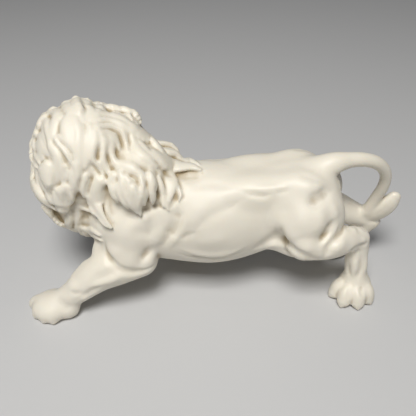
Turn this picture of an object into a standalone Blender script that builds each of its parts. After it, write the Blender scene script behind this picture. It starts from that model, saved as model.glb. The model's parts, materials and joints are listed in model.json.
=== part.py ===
"""A striding lion figurine, cast in one piece, at its real size.

Metres, +Z up. The lion faces -X with its tail toward +X, its left side is toward -Y, and its head is
turned over its right shoulder, toward +Y. The origin is the middle of its footprint, on the ground.
Landmarks are given in points, a point being 1/181 of the nominal length. With the claws and the point
of the tail tuft, the finished figure measures about 185 points.
"""
import math

import bmesh
import bpy
import numpy as np
from mathutils import Matrix, Vector

# Driving dimension: nominal length, about that from the fore paw to the bend of the tail
FIGURE_LENGTH = 0.180

# Grain of the modelling, in points
POINT = FIGURE_LENGTH / 181.0
FLESH_GRAIN = 1.5
CARVING_GRAIN = 1.05
FLESH_SOFTENING = 7
CARVING_SOFTENING = 1
KEPT_SHARE_OF_FACES = 0.094

# Trunk: x, half width, underside z, back z
TRUNK_SECTIONS = [
    (-62, 8, 38, 60), (-52, 14, 29, 68), (-38, 19, 24, 71.5), (-18, 20.5, 20, 70.5), (0, 20, 17, 70.5),
    (14, 19, 19, 71.3), (28, 17.5, 24.5, 72.6), (40, 17, 31, 73.5), (52, 15.5, 39, 72.3), (59, 11, 46, 68),
    (63, 6, 52, 62),
]
TRUNK_ROUNDNESS = 2.3

# Masses of flesh: centre or ends, and half sizes
HIP_BONE = ((40, 10, 66.5), (10, 6, 6))
HAUNCH = {
    "left": ((50, -9, 64), (42, -17, 40), 15.5, 10.5),
    "right": ((50, 11, 64), (56, 18, 38), 13.5, 10.5),
}
BUTTOCK = {
    "left": ((58.5, -8, 60), (60, -12.5, 40), 8, 7.5),
    "right": ((58.5, 8, 60), (61, 15, 40), 8, 7.5),
}
SHOULDER_BLADE = ((-37, 13.5, 47), (15, 10, 19))
UPPER_ARM = {
    "left": ((-46, -15, 40), (-28, -17, 30), 10, 8.5),
    "right": ((-40, 16, 40), (-24, 19, 30), 10, 8.5),
}

# Limbs: x, y, z, radius down each limb
SHANK = {
    "left": [(44, -18, 38.5, 8.8), (54, -17.5, 38, 8.4), (63, -15, 37.7, 7.2), (71, -11, 36.7, 5.7)],
    "right": [(58, 19, 36, 9.5), (68, 19, 32, 8.4), (78, 18.5, 28.3, 6.5), (86.5, 17.5, 25.3, 4.6)],
}
HIND_CANNON = {
    "left": [(72, -10, 35.5, 5), (73.2, -10, 31, 5.3), (73.2, -10.5, 24, 5.2), (73.6, -11, 17, 5.4),
             (73, -12, 9, 5.8)],
    "right": [(86.5, 17.5, 24.8, 4.2), (81, 18, 18, 4.5), (75, 19, 11, 4.8), (70, 19.5, 7, 5.6)],
}
FOREARM = {
    "left": [(-32, -16.5, 28, 9), (-44, -18, 27.5, 10.8), (-52, -20, 23, 9.3), (-60, -22, 17.2, 7.3),
             (-67, -24, 11.5, 6.3), (-73.5, -25, 8, 6.4)],
    "right": [(-36, 17, 38, 10), (-24, 19.5, 31, 9.8), (-16, 20.5, 25, 8.2), (-7, 21, 15, 6.2),
              (-7, 21.5, 8, 6)],
}

# Paws: place on the ground, heading, half width, and how far the toes spread
PAWS = [
    ((-76, -25), (-1, -0.12), 8.4, 1.05),
    ((-11, 21.5), (-1, 0.1), 8.0, 1.05),
    ((72.6, -12), (-0.05, -1), 7.2, 1.5),
    ((67, 19.5), (-0.96, 0.28), 7.4, 1.3),
]
PAW_LENGTH = 9.0
PAW_HEIGHT = 8.0
PAW_CENTRE_HEIGHT = 6.0
TOE_DROP = 3.0
TOES = [(-5.6, 5.4, 3.2), (-2.1, 7.9, 3.5), (2.1, 7.9, 3.5), (5.6, 5.4, 3.2)]

# Tail and tuft: x, y, z, radius
TAIL = [(50, 0, 66, 8), (57, 0, 69.8, 5.7), (64, 1.5, 71.3, 4.3), (70.2, 3, 70.9, 3.9), (77, 5, 68.3, 3.6),
        (82.6, 7.5, 63.5, 3.4), (86.6, 10, 56.9, 3.3), (87.3, 12, 49.6, 3.3), (86, 14, 42.1, 3.4),
        (84, 15.5, 33, 3.8)]
TUFT = [(85, 15.5, 30, 3.0), (88.5, 14.5, 34.5, 5.0), (92.5, 13.8, 39.8, 4.6), (96, 13, 45, 2.0)]

# Head: its centre and the way it looks, and features as forward, sideways, up from that centre
HEAD_CENTRE = np.array([-57.0, 12.0, 69.0])
HEAD_LOOKS = np.array([-0.42, 0.9, -0.1])
FACE_FEATURES = [
    ("skull", (2, 0, 1), (14, 13.5, 14)),
    ("forehead", (9, 0, 8.5), (7, 8.5, 6)),
    ("cheek", (10, 7.5, -3.5), (7.5, 6, 7.5)),
    ("brow", (13.6, 5, 6.6), (3.4, 4.2, 2.4)),
    ("bridge", (17.5, 0, 3), (10, 4.6, 4.4)),
    ("muzzle", (21.5, 3.2, -3.2), (6.5, 4.8, 4.9)),
    ("nose", (27.0, 0, 1.4), (2.6, 3.8, 2.4)),
    ("chin", (20, 0, -8.8), (6, 4.4, 3.6)),
    ("ear", (2, 14.5, 12), (2.6, 5.2, 5.4)),
]

# Mane: masses as centre and half sizes, the crown that its locks leave from, and the locks' size
MANE_MASSES = [
    ((-55, 3, 72.5), (23.2, 21, 25), 78),
    ((-38, 1, 67.5), (18.5, 19, 17.5), 40),
    ((-65, 1, 52), (13, 15, 17), 36),
]
KEY_LOCKS = [
    [(-32, -3, 86), (-22, -4, 81.5), (-14, -4, 76), (-7, -3.5, 71.5)],
    [(-28, -10, 79), (-20, -12.5, 73.5), (-14, -14, 66)],
    [(-32, -13, 78), (-26, -16.5, 70.5), (-22.5, -18.5, 62)],
    [(-38, -16, 78), (-34, -19, 69), (-30.5, -20.5, 58)],
    [(-43, -17, 78), (-40, -19.5, 71), (-35.5, -20.5, 62)],
    [(-50, -17.5, 76), (-49, -20, 67), (-47, -20.5, 58), (-42.5, -21, 50)],
    [(-56, -17, 75), (-60, -17.5, 69), (-62, -17, 61)],
]
CROWN = np.array([-50.0, 8.0, 98.0])
NECK_START = -56.0
NECK_LENGTH = 20.0
MANE_END = -16.0
MANE_LOW = 31.0
CHEST_START = -50.0
CHEST_TOP = 46.0
LOCK_LENGTH = 19.0
LOCK_WIDTH = 8.6
LOCK_THICKNESS = 5.2
LOCK_LIFT = 2.8
LOCK_SECTIONS = 7
FACE_OPENING = 0.70
GOLDEN = (math.sqrt(5) - 1) / 2

# Colour of the cast resin
IVORY = (0.80, 0.76, 0.64, 1.0)
RESIN_ROUGHNESS = 0.5


def unit(vector):
    """The vector at length one."""
    vector = np.asarray(vector, float)
    return vector / np.linalg.norm(vector)


def smooth_rows(rows, per_span=4):
    """Rows along a smooth curve that passes through the given rows, whatever their width."""
    rows = np.asarray(rows, float)
    padded = np.vstack([2 * rows[0] - rows[1], rows, 2 * rows[-1] - rows[-2]])
    share = np.linspace(0, 1, per_span, endpoint=False)[:, None]
    out = []
    for before, here, there, after in zip(padded, padded[1:], padded[2:], padded[3:]):
        bend = 2 * before - 5 * here + 4 * there - after
        turn = 3 * here - before - 3 * there + after
        out.append(here + 0.5 * ((there - before) * share + bend * share**2 + turn * share**3))
    return np.vstack(out + [rows[-1:]])


def add_rings(shells, rings):
    """Skins a row of rings of points and closes both ends."""
    loops = [[shells.verts.new(Vector(point) * POINT) for point in ring] for ring in rings]
    for lower, upper in zip(loops, loops[1:]):
        for k in range(len(lower)):
            n = (k + 1) % len(lower)
            shells.faces.new((lower[k], lower[n], upper[n], upper[k]))
    shells.faces.new(loops[0][::-1])
    shells.faces.new(loops[-1])


def add_ellipsoid(shells, centre, half_sizes, along=(1, 0, 0), up=(0, 0, 1)):
    """An ellipsoid with its first axis along one direction and its third near another."""
    first = unit(along)
    side = unit(np.cross(up, first))
    third = np.cross(first, side)
    turn = Matrix([[first[k], side[k], third[k]] for k in range(3)]).to_4x4()
    place = Matrix.Translation(Vector(centre) * POINT)
    size = Matrix.Diagonal([half * POINT for half in half_sizes] + [1])
    bmesh.ops.create_icosphere(shells, subdivisions=3, radius=1.0, matrix=place @ turn @ size)


def add_muscle(shells, start, end, half_width, half_thickness, outward):
    """A muscle belly between two points, flat toward the side that it lies on."""
    start, end = np.asarray(start, float), np.asarray(end, float)
    reach = np.linalg.norm(end - start) * 0.56
    add_ellipsoid(shells, (start + end) / 2, (reach, half_width, half_thickness), end - start, outward)


def add_limb(shells, rows, flatness=1.0, flat_toward=(0, 1, 0), sides=14):
    """A round limb along a smooth curve, with a rounded knob at each end."""
    path = smooth_rows(rows)
    centres, radii = path[:, :3], path[:, 3]
    tangents = np.gradient(centres, axis=0)
    rings = []
    for centre, radius, tangent in zip(centres, radii, tangents):
        thin = unit(np.asarray(flat_toward, float) - np.dot(flat_toward, unit(tangent)) * unit(tangent))
        wide = np.cross(unit(tangent), thin)
        angles = 2 * math.pi * np.arange(sides) / sides
        rings.append([centre + radius * (math.cos(a) * wide + flatness * math.sin(a) * thin) for a in angles])
    add_rings(shells, rings)
    for centre, radius in ((centres[0], radii[0]), (centres[-1], radii[-1])):
        add_ellipsoid(shells, centre, (radius, radius, radius * flatness), tangents[-1], flat_toward)


def add_trunk(shells, sides=28):
    """The trunk: super-ellipse sections along the spine."""
    angles = 2 * math.pi * np.arange(sides) / sides
    rings = []
    for x, half_width, low, high in smooth_rows(TRUNK_SECTIONS):
        ring = []
        for cosine, sine in zip(np.cos(angles), np.sin(angles)):
            power = 2 / TRUNK_ROUNDNESS
            y = half_width * math.copysign(abs(cosine) ** power, cosine)
            z = (low + high) / 2 + (high - low) / 2 * math.copysign(abs(sine) ** power, sine)
            ring.append((x, y, z))
        rings.append(ring)
    add_rings(shells, rings)


def mirrored(point):
    """The same point on the lion's left side."""
    return (point[0], -point[1], point[2])


def add_flesh(shells):
    """The trunk and the heavy muscles of the four quarters, which run softly into one another."""
    add_trunk(shells)
    centre, half_sizes = HIP_BONE
    for place in (centre, mirrored(centre)):
        add_ellipsoid(shells, place, half_sizes)
    blade, blade_sizes = SHOULDER_BLADE
    for place in (blade, mirrored(blade)):
        add_ellipsoid(shells, place, blade_sizes, along=(0.85, 0, 0.35), up=(-0.35, 0, 1))
    for side, outward in (("left", (0, -1, 0)), ("right", (0, 1, 0))):
        for mass in (HAUNCH, BUTTOCK, UPPER_ARM):
            start, end, half_width, half_thickness = mass[side]
            add_muscle(shells, start, end, half_width, half_thickness, outward)
        add_limb(shells, SHANK[side][:3])
        add_limb(shells, FOREARM[side][:3])
    for centre, half_sizes, _ in MANE_MASSES:
        add_ellipsoid(shells, centre, half_sizes)


def add_paw(shells, place, heading, half_width, spread):
    """A flat-soled paw with four toes that fan out from it."""
    forward = unit((*heading, 0))
    sideways = np.array([-forward[1], forward[0], 0])
    centre = np.array([*place, PAW_CENTRE_HEIGHT])
    add_ellipsoid(shells, centre, (PAW_LENGTH, half_width, PAW_HEIGHT), forward)
    for offset, reach, radius in TOES:
        knuckle = centre + sideways * offset * 0.7 + forward * 1.5
        tip = centre + sideways * offset * spread + forward * reach - np.array([0, 0, TOE_DROP])
        add_limb(shells, [(*knuckle, radius), (*(knuckle + tip) / 2, radius), (*tip, radius * 0.9)])


def face_frame():
    """Forward, sideways and up as the head is turned."""
    forward = unit(HEAD_LOOKS)
    sideways = unit(np.cross((0, 0, 1), forward))
    return forward, sideways, np.cross(forward, sideways)


def add_head(shells):
    """Skull, cheeks, brows, muzzle, nose, chin and ears, on both sides of the face."""
    forward, sideways, up = face_frame()
    for _, offsets, half_sizes in FACE_FEATURES:
        for side in ((1, -1) if offsets[1] else (1,)):
            centre = HEAD_CENTRE + forward * offsets[0] + sideways * side * offsets[1] + up * offsets[2]
            add_ellipsoid(shells, centre, half_sizes, forward, up)


def mane_depth(point):
    """How far a point lies outside the mane's masses, and the way out."""
    best, way_out = 1e9, np.array([0.0, 0.0, 1.0])
    for centre, half_sizes, _ in MANE_MASSES:
        half = np.array(half_sizes, float)
        offset = point - np.array(centre, float)
        reach = np.linalg.norm(offset / half)
        slope = np.linalg.norm(offset / half**2)
        depth = reach * (reach - 1) / max(slope, 1e-9)
        if depth < best:
            best, way_out = depth, unit(offset / half**2)
    return best, way_out


def lock_heading(point, way_out):
    """The way hair lies: away from the crown, downward, and back along the neck."""
    from_crown = unit(point - CROWN)
    neck = min(max((point[0] - NECK_START) / NECK_LENGTH, 0), 1)
    heading = from_crown + np.array([0, 0, -0.75]) + neck * np.array([0.9, 0, 0])
    along = heading - np.dot(heading, way_out) * way_out
    return unit(along)


def lock_size(share):
    """Half width and half thickness of a lock at a share of its length: full near the middle, then pointed."""
    width = LOCK_WIDTH / 2 * (0.55 + 0.45 * math.sin(math.pi * min(share * 1.3, 0.5))) * (1 - share**3)
    return max(width, 0.7), LOCK_THICKNESS / 2 * (1 - 0.75 * share**2)


def grow_lock(root, number):
    """Route and sizes of one lock, which bends to one side and lifts toward its tip."""
    bend = 0.55 * math.sin(number * 2.4) + 0.25 * math.sin(number * 5.1)
    length = LOCK_LENGTH * (0.85 + 0.3 * (number * GOLDEN % 1))
    point, route = root, []
    for section in range(LOCK_SECTIONS):
        share = section / (LOCK_SECTIONS - 1)
        depth, way_out = mane_depth(point)
        point = point - depth * way_out
        along = lock_heading(point, way_out)
        across = np.cross(way_out, along)
        swing = bend * math.sin(math.pi * (1.5 * share - 0.3))
        centre = point + way_out * (LOCK_LIFT * share**0.8 - 0.6)
        route.append((centre, unit(across - swing * along), way_out, *lock_size(share)))
        point = point + unit(along + swing * across) * length / (LOCK_SECTIONS - 1)
    return route


def lay_lock(points):
    """Route and sizes of one lock that is laid through chosen points."""
    path = smooth_rows(points)
    route = []
    for centre, along, share in zip(path, np.gradient(path, axis=0), np.linspace(0, 1, len(path))):
        _, way_out = mane_depth(centre)
        across = unit(np.cross(way_out, along))
        route.append((centre, across, unit(np.cross(along, across)), *lock_size(share)))
    return route


def lock_roots():
    """Even places over each mass of the mane, left out over the face and inside the other masses."""
    forward, _, _ = face_frame()
    for centre, half_sizes, count in MANE_MASSES:
        for k in range(round(count)):
            height = 1 - 2 * (k + 0.5) / count
            turn = 2 * math.pi * k * GOLDEN
            ring = math.sqrt(1 - height**2)
            direction = np.array([ring * math.cos(turn), ring * math.sin(turn), height])
            root = np.array(centre) + direction * np.array(half_sizes)
            depth, _ = mane_depth(root)
            toward_face = np.dot(unit(root - HEAD_CENTRE), forward)
            over_chest = root[2] < CHEST_TOP and root[0] > CHEST_START
            over_trunk = root[0] > MANE_END or over_chest or root[2] < MANE_LOW
            if depth > -1.5 and toward_face < FACE_OPENING and not over_trunk:
                yield root


def add_locks(shells, sides=8):
    """The mane's locks, each a flat tapering tuft that lies over the next."""
    angles = 2 * math.pi * np.arange(sides) / sides
    grown = [grow_lock(root, number) for number, root in enumerate(lock_roots())]
    for route in grown + [lay_lock(points) for points in KEY_LOCKS]:
        rings = []
        for centre, across, way_out, width, thickness in route:
            rings.append([centre + width * math.cos(a) * across + thickness * math.sin(a) * way_out
                          for a in angles])
        add_rings(shells, rings)


def linked_form(name, shells):
    """An object in the scene that holds the shells."""
    mesh = bpy.data.meshes.new(name)
    shells.to_mesh(mesh)
    shells.free()
    form = bpy.data.objects.new(name, mesh)
    bpy.context.scene.collection.objects.link(form)
    return form


def fuse(name, shells, grain, softening):
    """Fuses overlapping shells into one skin of even grain, and softens it."""
    bmesh.ops.recalc_face_normals(shells, faces=shells.faces)
    form = linked_form(name, shells)
    skin = form.modifiers.new("skin", "REMESH")
    skin.mode = "VOXEL"
    skin.voxel_size = grain * POINT
    soften = form.modifiers.new("soften", "SMOOTH")
    soften.factor = 0.5
    soften.iterations = round(softening)
    return form


def evaluated_mesh(form):
    """The form's mesh with its modifiers applied; the form itself is removed."""
    bpy.context.view_layer.update()
    result = bpy.data.meshes.new_from_object(form.evaluated_get(bpy.context.evaluated_depsgraph_get()))
    bpy.data.objects.remove(form)
    return result


def outer_skin(mesh):
    """The mesh as a bmesh without the closed bubbles that fused shells can leave inside."""
    skin = bmesh.new()
    skin.from_mesh(mesh)
    start = max(skin.verts, key=lambda vertex: vertex.co.z)
    reached, front = {start}, [start]
    while front:
        vertex = front.pop()
        for edge in vertex.link_edges:
            other = edge.other_vert(vertex)
            if other not in reached:
                reached.add(other)
                front.append(other)
    bmesh.ops.delete(skin, geom=[vertex for vertex in skin.verts if vertex not in reached], context="VERTS")
    return skin


def ground_cutter():
    """A slab under the ground, which cuts the soles flat."""
    slab = bmesh.new()
    size = Matrix.Diagonal((2 * FIGURE_LENGTH, FIGURE_LENGTH, 20 * POINT, 1))
    bmesh.ops.create_cube(slab, size=1.0, matrix=Matrix.Translation((0, 0, -10 * POINT)) @ size)
    cutter = linked_form("ground", slab)
    cutter.hide_render = True
    cutter.display_type = "WIRE"
    return cutter


def resin():
    """Ivory casting resin with a satin surface."""
    material = bpy.data.materials.new("ivory_resin")
    material.use_nodes = True
    shader = material.node_tree.nodes["Principled BSDF"]
    shader.inputs["Base Color"].default_value = IVORY
    shader.inputs["Roughness"].default_value = RESIN_ROUGHNESS
    shader.inputs["Metallic"].default_value = 0.0
    return material


def model_lion():
    """Builds the lion: soft flesh first, then limbs, paws, tail, head and mane, fused into one solid."""
    flesh = bmesh.new()
    add_flesh(flesh)
    carving = outer_skin(evaluated_mesh(fuse("flesh", flesh, FLESH_GRAIN, FLESH_SOFTENING)))
    for side in ("left", "right"):
        add_limb(carving, SHANK[side])
        add_limb(carving, HIND_CANNON[side])
        add_limb(carving, FOREARM[side])
    for place, heading, half_width, spread in PAWS:
        add_paw(carving, place, heading, half_width, spread)
    add_limb(carving, TAIL)
    add_limb(carving, TUFT, flatness=0.7, flat_toward=(0, 1, 0.3))
    add_head(carving)
    add_locks(carving)
    skin = outer_skin(evaluated_mesh(fuse("carving", carving, CARVING_GRAIN, CARVING_SOFTENING)))
    form = linked_form("skin", skin)
    thin = form.modifiers.new("thin", "DECIMATE")
    thin.ratio = KEPT_SHARE_OF_FACES
    soles = form.modifiers.new("soles", "BOOLEAN")
    soles.operation = "DIFFERENCE"
    cutter = ground_cutter()
    soles.object = cutter
    mesh = evaluated_mesh(form)
    bpy.data.objects.remove(cutter)
    corners = np.array([vertex.co for vertex in mesh.vertices])
    middle = (corners.min(axis=0) + corners.max(axis=0)) / 2
    mesh.transform(Matrix.Translation((-middle[0], -middle[1], 0)))
    mesh.materials.clear()
    mesh.materials.append(resin())
    mesh.shade_smooth()
    lion = bpy.data.objects.new("lion_figurine", mesh)
    bpy.context.scene.collection.objects.link(lion)


for leftover in list(bpy.data.objects):
    bpy.data.objects.remove(leftover)
model_lion()
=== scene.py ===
"""A striding lion figurine cast in ivory resin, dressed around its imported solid.

The figure is modelled like clay: soft masses are joined into one skin, folds are pressed into it, and
hair is laid on it lock by lock. All of it is worked out as the distance to the skin over a grid, and
meshed once. Landmarks are in millimetres. The lion faces -X with its left side toward the camera, and
its head is turned over its right shoulder, away from the camera.
"""
from __future__ import annotations

import json
import logging
import math
from dataclasses import dataclass, field
from enum import Enum
from typing import Any, Callable, ClassVar, Iterator, Protocol, Sequence

import bpy
import numpy as np
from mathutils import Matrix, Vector

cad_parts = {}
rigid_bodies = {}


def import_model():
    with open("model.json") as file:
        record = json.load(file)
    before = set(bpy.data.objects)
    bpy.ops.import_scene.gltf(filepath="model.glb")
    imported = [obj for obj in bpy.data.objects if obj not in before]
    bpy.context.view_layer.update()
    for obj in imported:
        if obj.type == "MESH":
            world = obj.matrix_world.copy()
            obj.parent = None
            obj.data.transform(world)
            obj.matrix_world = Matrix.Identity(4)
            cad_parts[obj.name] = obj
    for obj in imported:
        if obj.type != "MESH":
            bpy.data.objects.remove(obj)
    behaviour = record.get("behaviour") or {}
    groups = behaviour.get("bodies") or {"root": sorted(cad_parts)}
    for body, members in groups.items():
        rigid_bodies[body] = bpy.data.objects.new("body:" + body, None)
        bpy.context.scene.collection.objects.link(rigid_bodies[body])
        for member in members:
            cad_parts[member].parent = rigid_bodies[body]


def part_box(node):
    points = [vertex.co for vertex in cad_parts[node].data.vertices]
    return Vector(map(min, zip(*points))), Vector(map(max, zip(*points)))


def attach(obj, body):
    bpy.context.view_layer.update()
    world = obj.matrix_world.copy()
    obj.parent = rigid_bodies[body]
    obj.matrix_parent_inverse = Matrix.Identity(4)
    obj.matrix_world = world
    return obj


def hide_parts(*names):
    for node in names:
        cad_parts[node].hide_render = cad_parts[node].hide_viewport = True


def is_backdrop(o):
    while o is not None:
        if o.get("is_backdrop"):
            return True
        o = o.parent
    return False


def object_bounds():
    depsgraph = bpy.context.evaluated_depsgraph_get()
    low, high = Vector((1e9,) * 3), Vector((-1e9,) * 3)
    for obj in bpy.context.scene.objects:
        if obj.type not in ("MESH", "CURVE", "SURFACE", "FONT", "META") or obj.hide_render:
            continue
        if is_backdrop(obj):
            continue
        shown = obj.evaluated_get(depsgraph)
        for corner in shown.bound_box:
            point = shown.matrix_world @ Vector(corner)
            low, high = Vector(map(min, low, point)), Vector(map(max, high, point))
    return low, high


Array = np.ndarray
Row = Sequence[float]
Pixel = tuple[float, float]
Slices = tuple[slice, ...]
Route = tuple[Row, ...]
Ball = tuple[Row, Row, float]
Groove = tuple[float | Row, ...]

GOLDEN = (math.sqrt(5) - 1) / 2
MM_PER_METRE = 1000
# Keep a division from meeting nought
TINY = 1e-12
SMALL = 1e-6


def unit(vectors: Row | Array) -> Array:
    """Vectors at length one: each divided by the root of the sum of its squares."""
    vectors = np.asarray(vectors, float)
    return vectors / (np.linalg.norm(vectors, axis=-1, keepdims=True) + TINY)


def frame(forward: Row, upward: Row = (0, 0, 1)) -> Array:
    """Three ways at right angles to one another.

    Args:
        forward: The first way.
        upward: The last is as near to it as can be.

    Returns:
        Rows: forward, sideways and up.
    """
    first = unit(forward)
    side = unit(np.cross(upward, first))
    return np.array([first, side, np.cross(first, side)])


def smooth_rows(rows: Sequence[Row] | Array, per_span: int = 5) -> Array:
    """Rows along a Catmull-Rom curve, a cubic in each span that passes through every given row.

    Args:
        rows: Two or more rows of any width, such as x, y, z and radius.
        per_span: Rows made for each span.

    Returns:
        The rows of the curve, from the first given row to the last.
    """
    rows = np.asarray(rows, float)
    padded = np.vstack([2 * rows[0] - rows[1], rows, 2 * rows[-1] - rows[-2]])
    share = np.linspace(0, 1, per_span, endpoint=False)[:, None, None]
    before, here, there, after = padded[:-3], padded[1:-2], padded[2:-1], padded[3:]
    bend = 2 * before - 5 * here + 4 * there - after
    turn = 3 * here - before - 3 * there + after
    spans = here + 0.5 * ((there - before) * share + bend * share**2 + turn * share**3)
    return np.vstack([spans.transpose(1, 0, 2).reshape(-1, rows.shape[1]), rows[-1:]])


def soft_union(first: Array, second: Array, blend: float | Array) -> Array:
    """The lesser of two distances, with a fillet where they differ by less than the blend."""
    overlap = np.maximum(blend - np.abs(first - second), 0)
    return np.minimum(first, second) - overlap * overlap / (4 * blend)


def ellipsoid_distance(local: Array, half_sizes: Array) -> Array:
    """Near the skin of an ellipsoid: k (k - 1) / g, with k the scaled radius and g the length of its slope.

    Args:
        local: Places along the ellipsoid's own directions.
        half_sizes: Its half sizes.

    Returns:
        The distance of each place to the skin, below zero inside.
    """
    reach = np.sqrt(((local / half_sizes) ** 2).sum(-1)) + SMALL
    slope = np.sqrt(((local / half_sizes**2) ** 2).sum(-1)) + SMALL
    return reach * (reach - 1) / slope


class Shape(Protocol):
    """Anything that can be added to the clay: it knows its box and the distance to its skin."""

    def bounds(self) -> tuple[Array, Array]:
        """Lowest and highest corners."""

    def distance(self, points: Array) -> Array:
        """Distance of each point to the skin, below zero inside."""


@dataclass
class Ellipsoid:
    """An ellipsoid with its first half size along one direction and its third near another."""

    centre: Row
    half_sizes: Row
    along: Row = (1, 0, 0)
    up: Row = (0, 0, 1)

    def axes(self) -> Array:
        """Rows: the ellipsoid's own ways along, sideways and up."""
        return frame(self.along, self.up)

    def bounds(self) -> tuple[Array, Array]:
        """Lowest and highest corners."""
        reach = np.sqrt(((self.axes() * np.array(self.half_sizes)[:, None]) ** 2).sum(0))
        return np.array(self.centre) - reach, np.array(self.centre) + reach

    def distance(self, points: Array) -> Array:
        """Distance to the skin along the ellipsoid's own directions."""
        local = (points - np.array(self.centre, np.float32)) @ self.axes().T.astype(np.float32)
        return ellipsoid_distance(local, np.array(self.half_sizes, np.float32))


def belly(start: Row, end: Row, half_width: float, half_thickness: float, outward: Row,
          overlap: float = 1.12) -> Ellipsoid:
    """A muscle belly: an ellipsoid between two points, thin toward the side that it lies on.

    Args:
        start: One end of the muscle.
        end: Its other end.
        half_width: Half its width along the skin.
        half_thickness: Half its thickness.
        outward: The way out of the body there.
        overlap: Length of the ellipsoid as a share of the way between the ends.

    Returns:
        The ellipsoid.
    """
    start, end = np.asarray(start, float), np.asarray(end, float)
    reach = np.linalg.norm(end - start) / 2 * overlap
    return Ellipsoid((start + end) / 2, (reach, half_width, half_thickness), end - start, outward)


@dataclass
class Cone:
    """A round bit of a limb between two places, whose radius grows evenly from one to the other."""

    start: Array
    end: Array
    flatness: float = 1.0
    flat_toward: Row = (0, 1, 0)

    def bounds(self) -> tuple[Array, Array]:
        """Lowest and highest corners."""
        ends = np.array([self.start, self.end])
        return (ends[:, :3] - ends[:, 3:]).min(0), (ends[:, :3] + ends[:, 3:]).max(0)

    def distance(self, points: Array) -> Array:
        """Distance to the nearest place of the straight line between the ends, less the radius there.

        Args:
            points: Places in the figure's frame.

        Returns:
            The distance of each place to the skin, below zero inside.
        """
        start, end = self.start.astype(np.float32), self.end.astype(np.float32)
        run = end[:3] - start[:3]
        offset = points - start[:3]
        share = np.clip((offset @ run) / (run @ run + TINY), 0, 1)
        offset = offset - share[..., None] * run
        if self.flatness != 1.0:
            thin = unit(self.flat_toward).astype(np.float32)
            offset = offset + (offset @ thin)[..., None] * thin * (1 / self.flatness - 1)
        return np.sqrt((offset * offset).sum(-1)) - (start[3] + share * (end[3] - start[3]))


@dataclass
class Limb:
    """A round limb whose radius changes along a smooth curve: a chain of short cones."""

    rows: Sequence[Row]
    flatness: float = 1.0
    flat_toward: Row = (0, 1, 0)
    per_span: int = 7

    def cones(self) -> list[Cone]:
        """The short bits of the limb, one for each two neighbouring rows of its smooth curve."""
        path = smooth_rows(self.rows, self.per_span)
        return [Cone(start, end, self.flatness, self.flat_toward) for start, end in zip(path[:-1], path[1:])]


@dataclass
class Trunk:
    """Super-ellipse sections along the spine: x, half width, underside and back in each row."""

    sections: Sequence[Row]
    roundness: float
    rows: Array = field(init=False)

    def __post_init__(self) -> None:
        """Draws the smooth curve through the sections."""
        self.rows = smooth_rows(self.sections, 8)

    def bounds(self) -> tuple[Array, Array]:
        """Lowest and highest corners."""
        x, half, low, high = self.rows.T
        return np.array([x[0], -half.max(), low.min()]), np.array([x[-1], half.max(), high.max()])

    def distance(self, points: Array) -> Array:
        """Inside a section as for an ellipse, but with powers of the roundness in place of squares.

        Args:
            points: Places in the figure's frame.

        Returns:
            The distance of each place to the skin, below zero inside.
        """
        stations, *columns = self.rows.T
        x = np.clip(points[..., :1, :1, 0], stations[0], stations[-1]).astype(np.float32)
        half_width, low, high = (np.interp(x, stations, column).astype(np.float32) for column in columns)
        half_height = (high - low) / 2
        across = np.abs(points[..., 1]) / half_width
        upward = np.abs(points[..., 2] - (low + high) / 2) / half_height
        power = self.roundness
        reach = (across**power + upward**power) ** (1 / power) + SMALL
        slopes = across ** (power - 1) / half_width, upward ** (power - 1) / half_height
        slope = np.sqrt(slopes[0] ** 2 + slopes[1] ** 2) + SMALL
        inside = (reach - 1) * reach ** (power - 1) / slope
        past = np.abs(points[..., 0] - x)
        return np.where(past > 0, np.hypot(np.maximum(inside, 0), past), inside)


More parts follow.
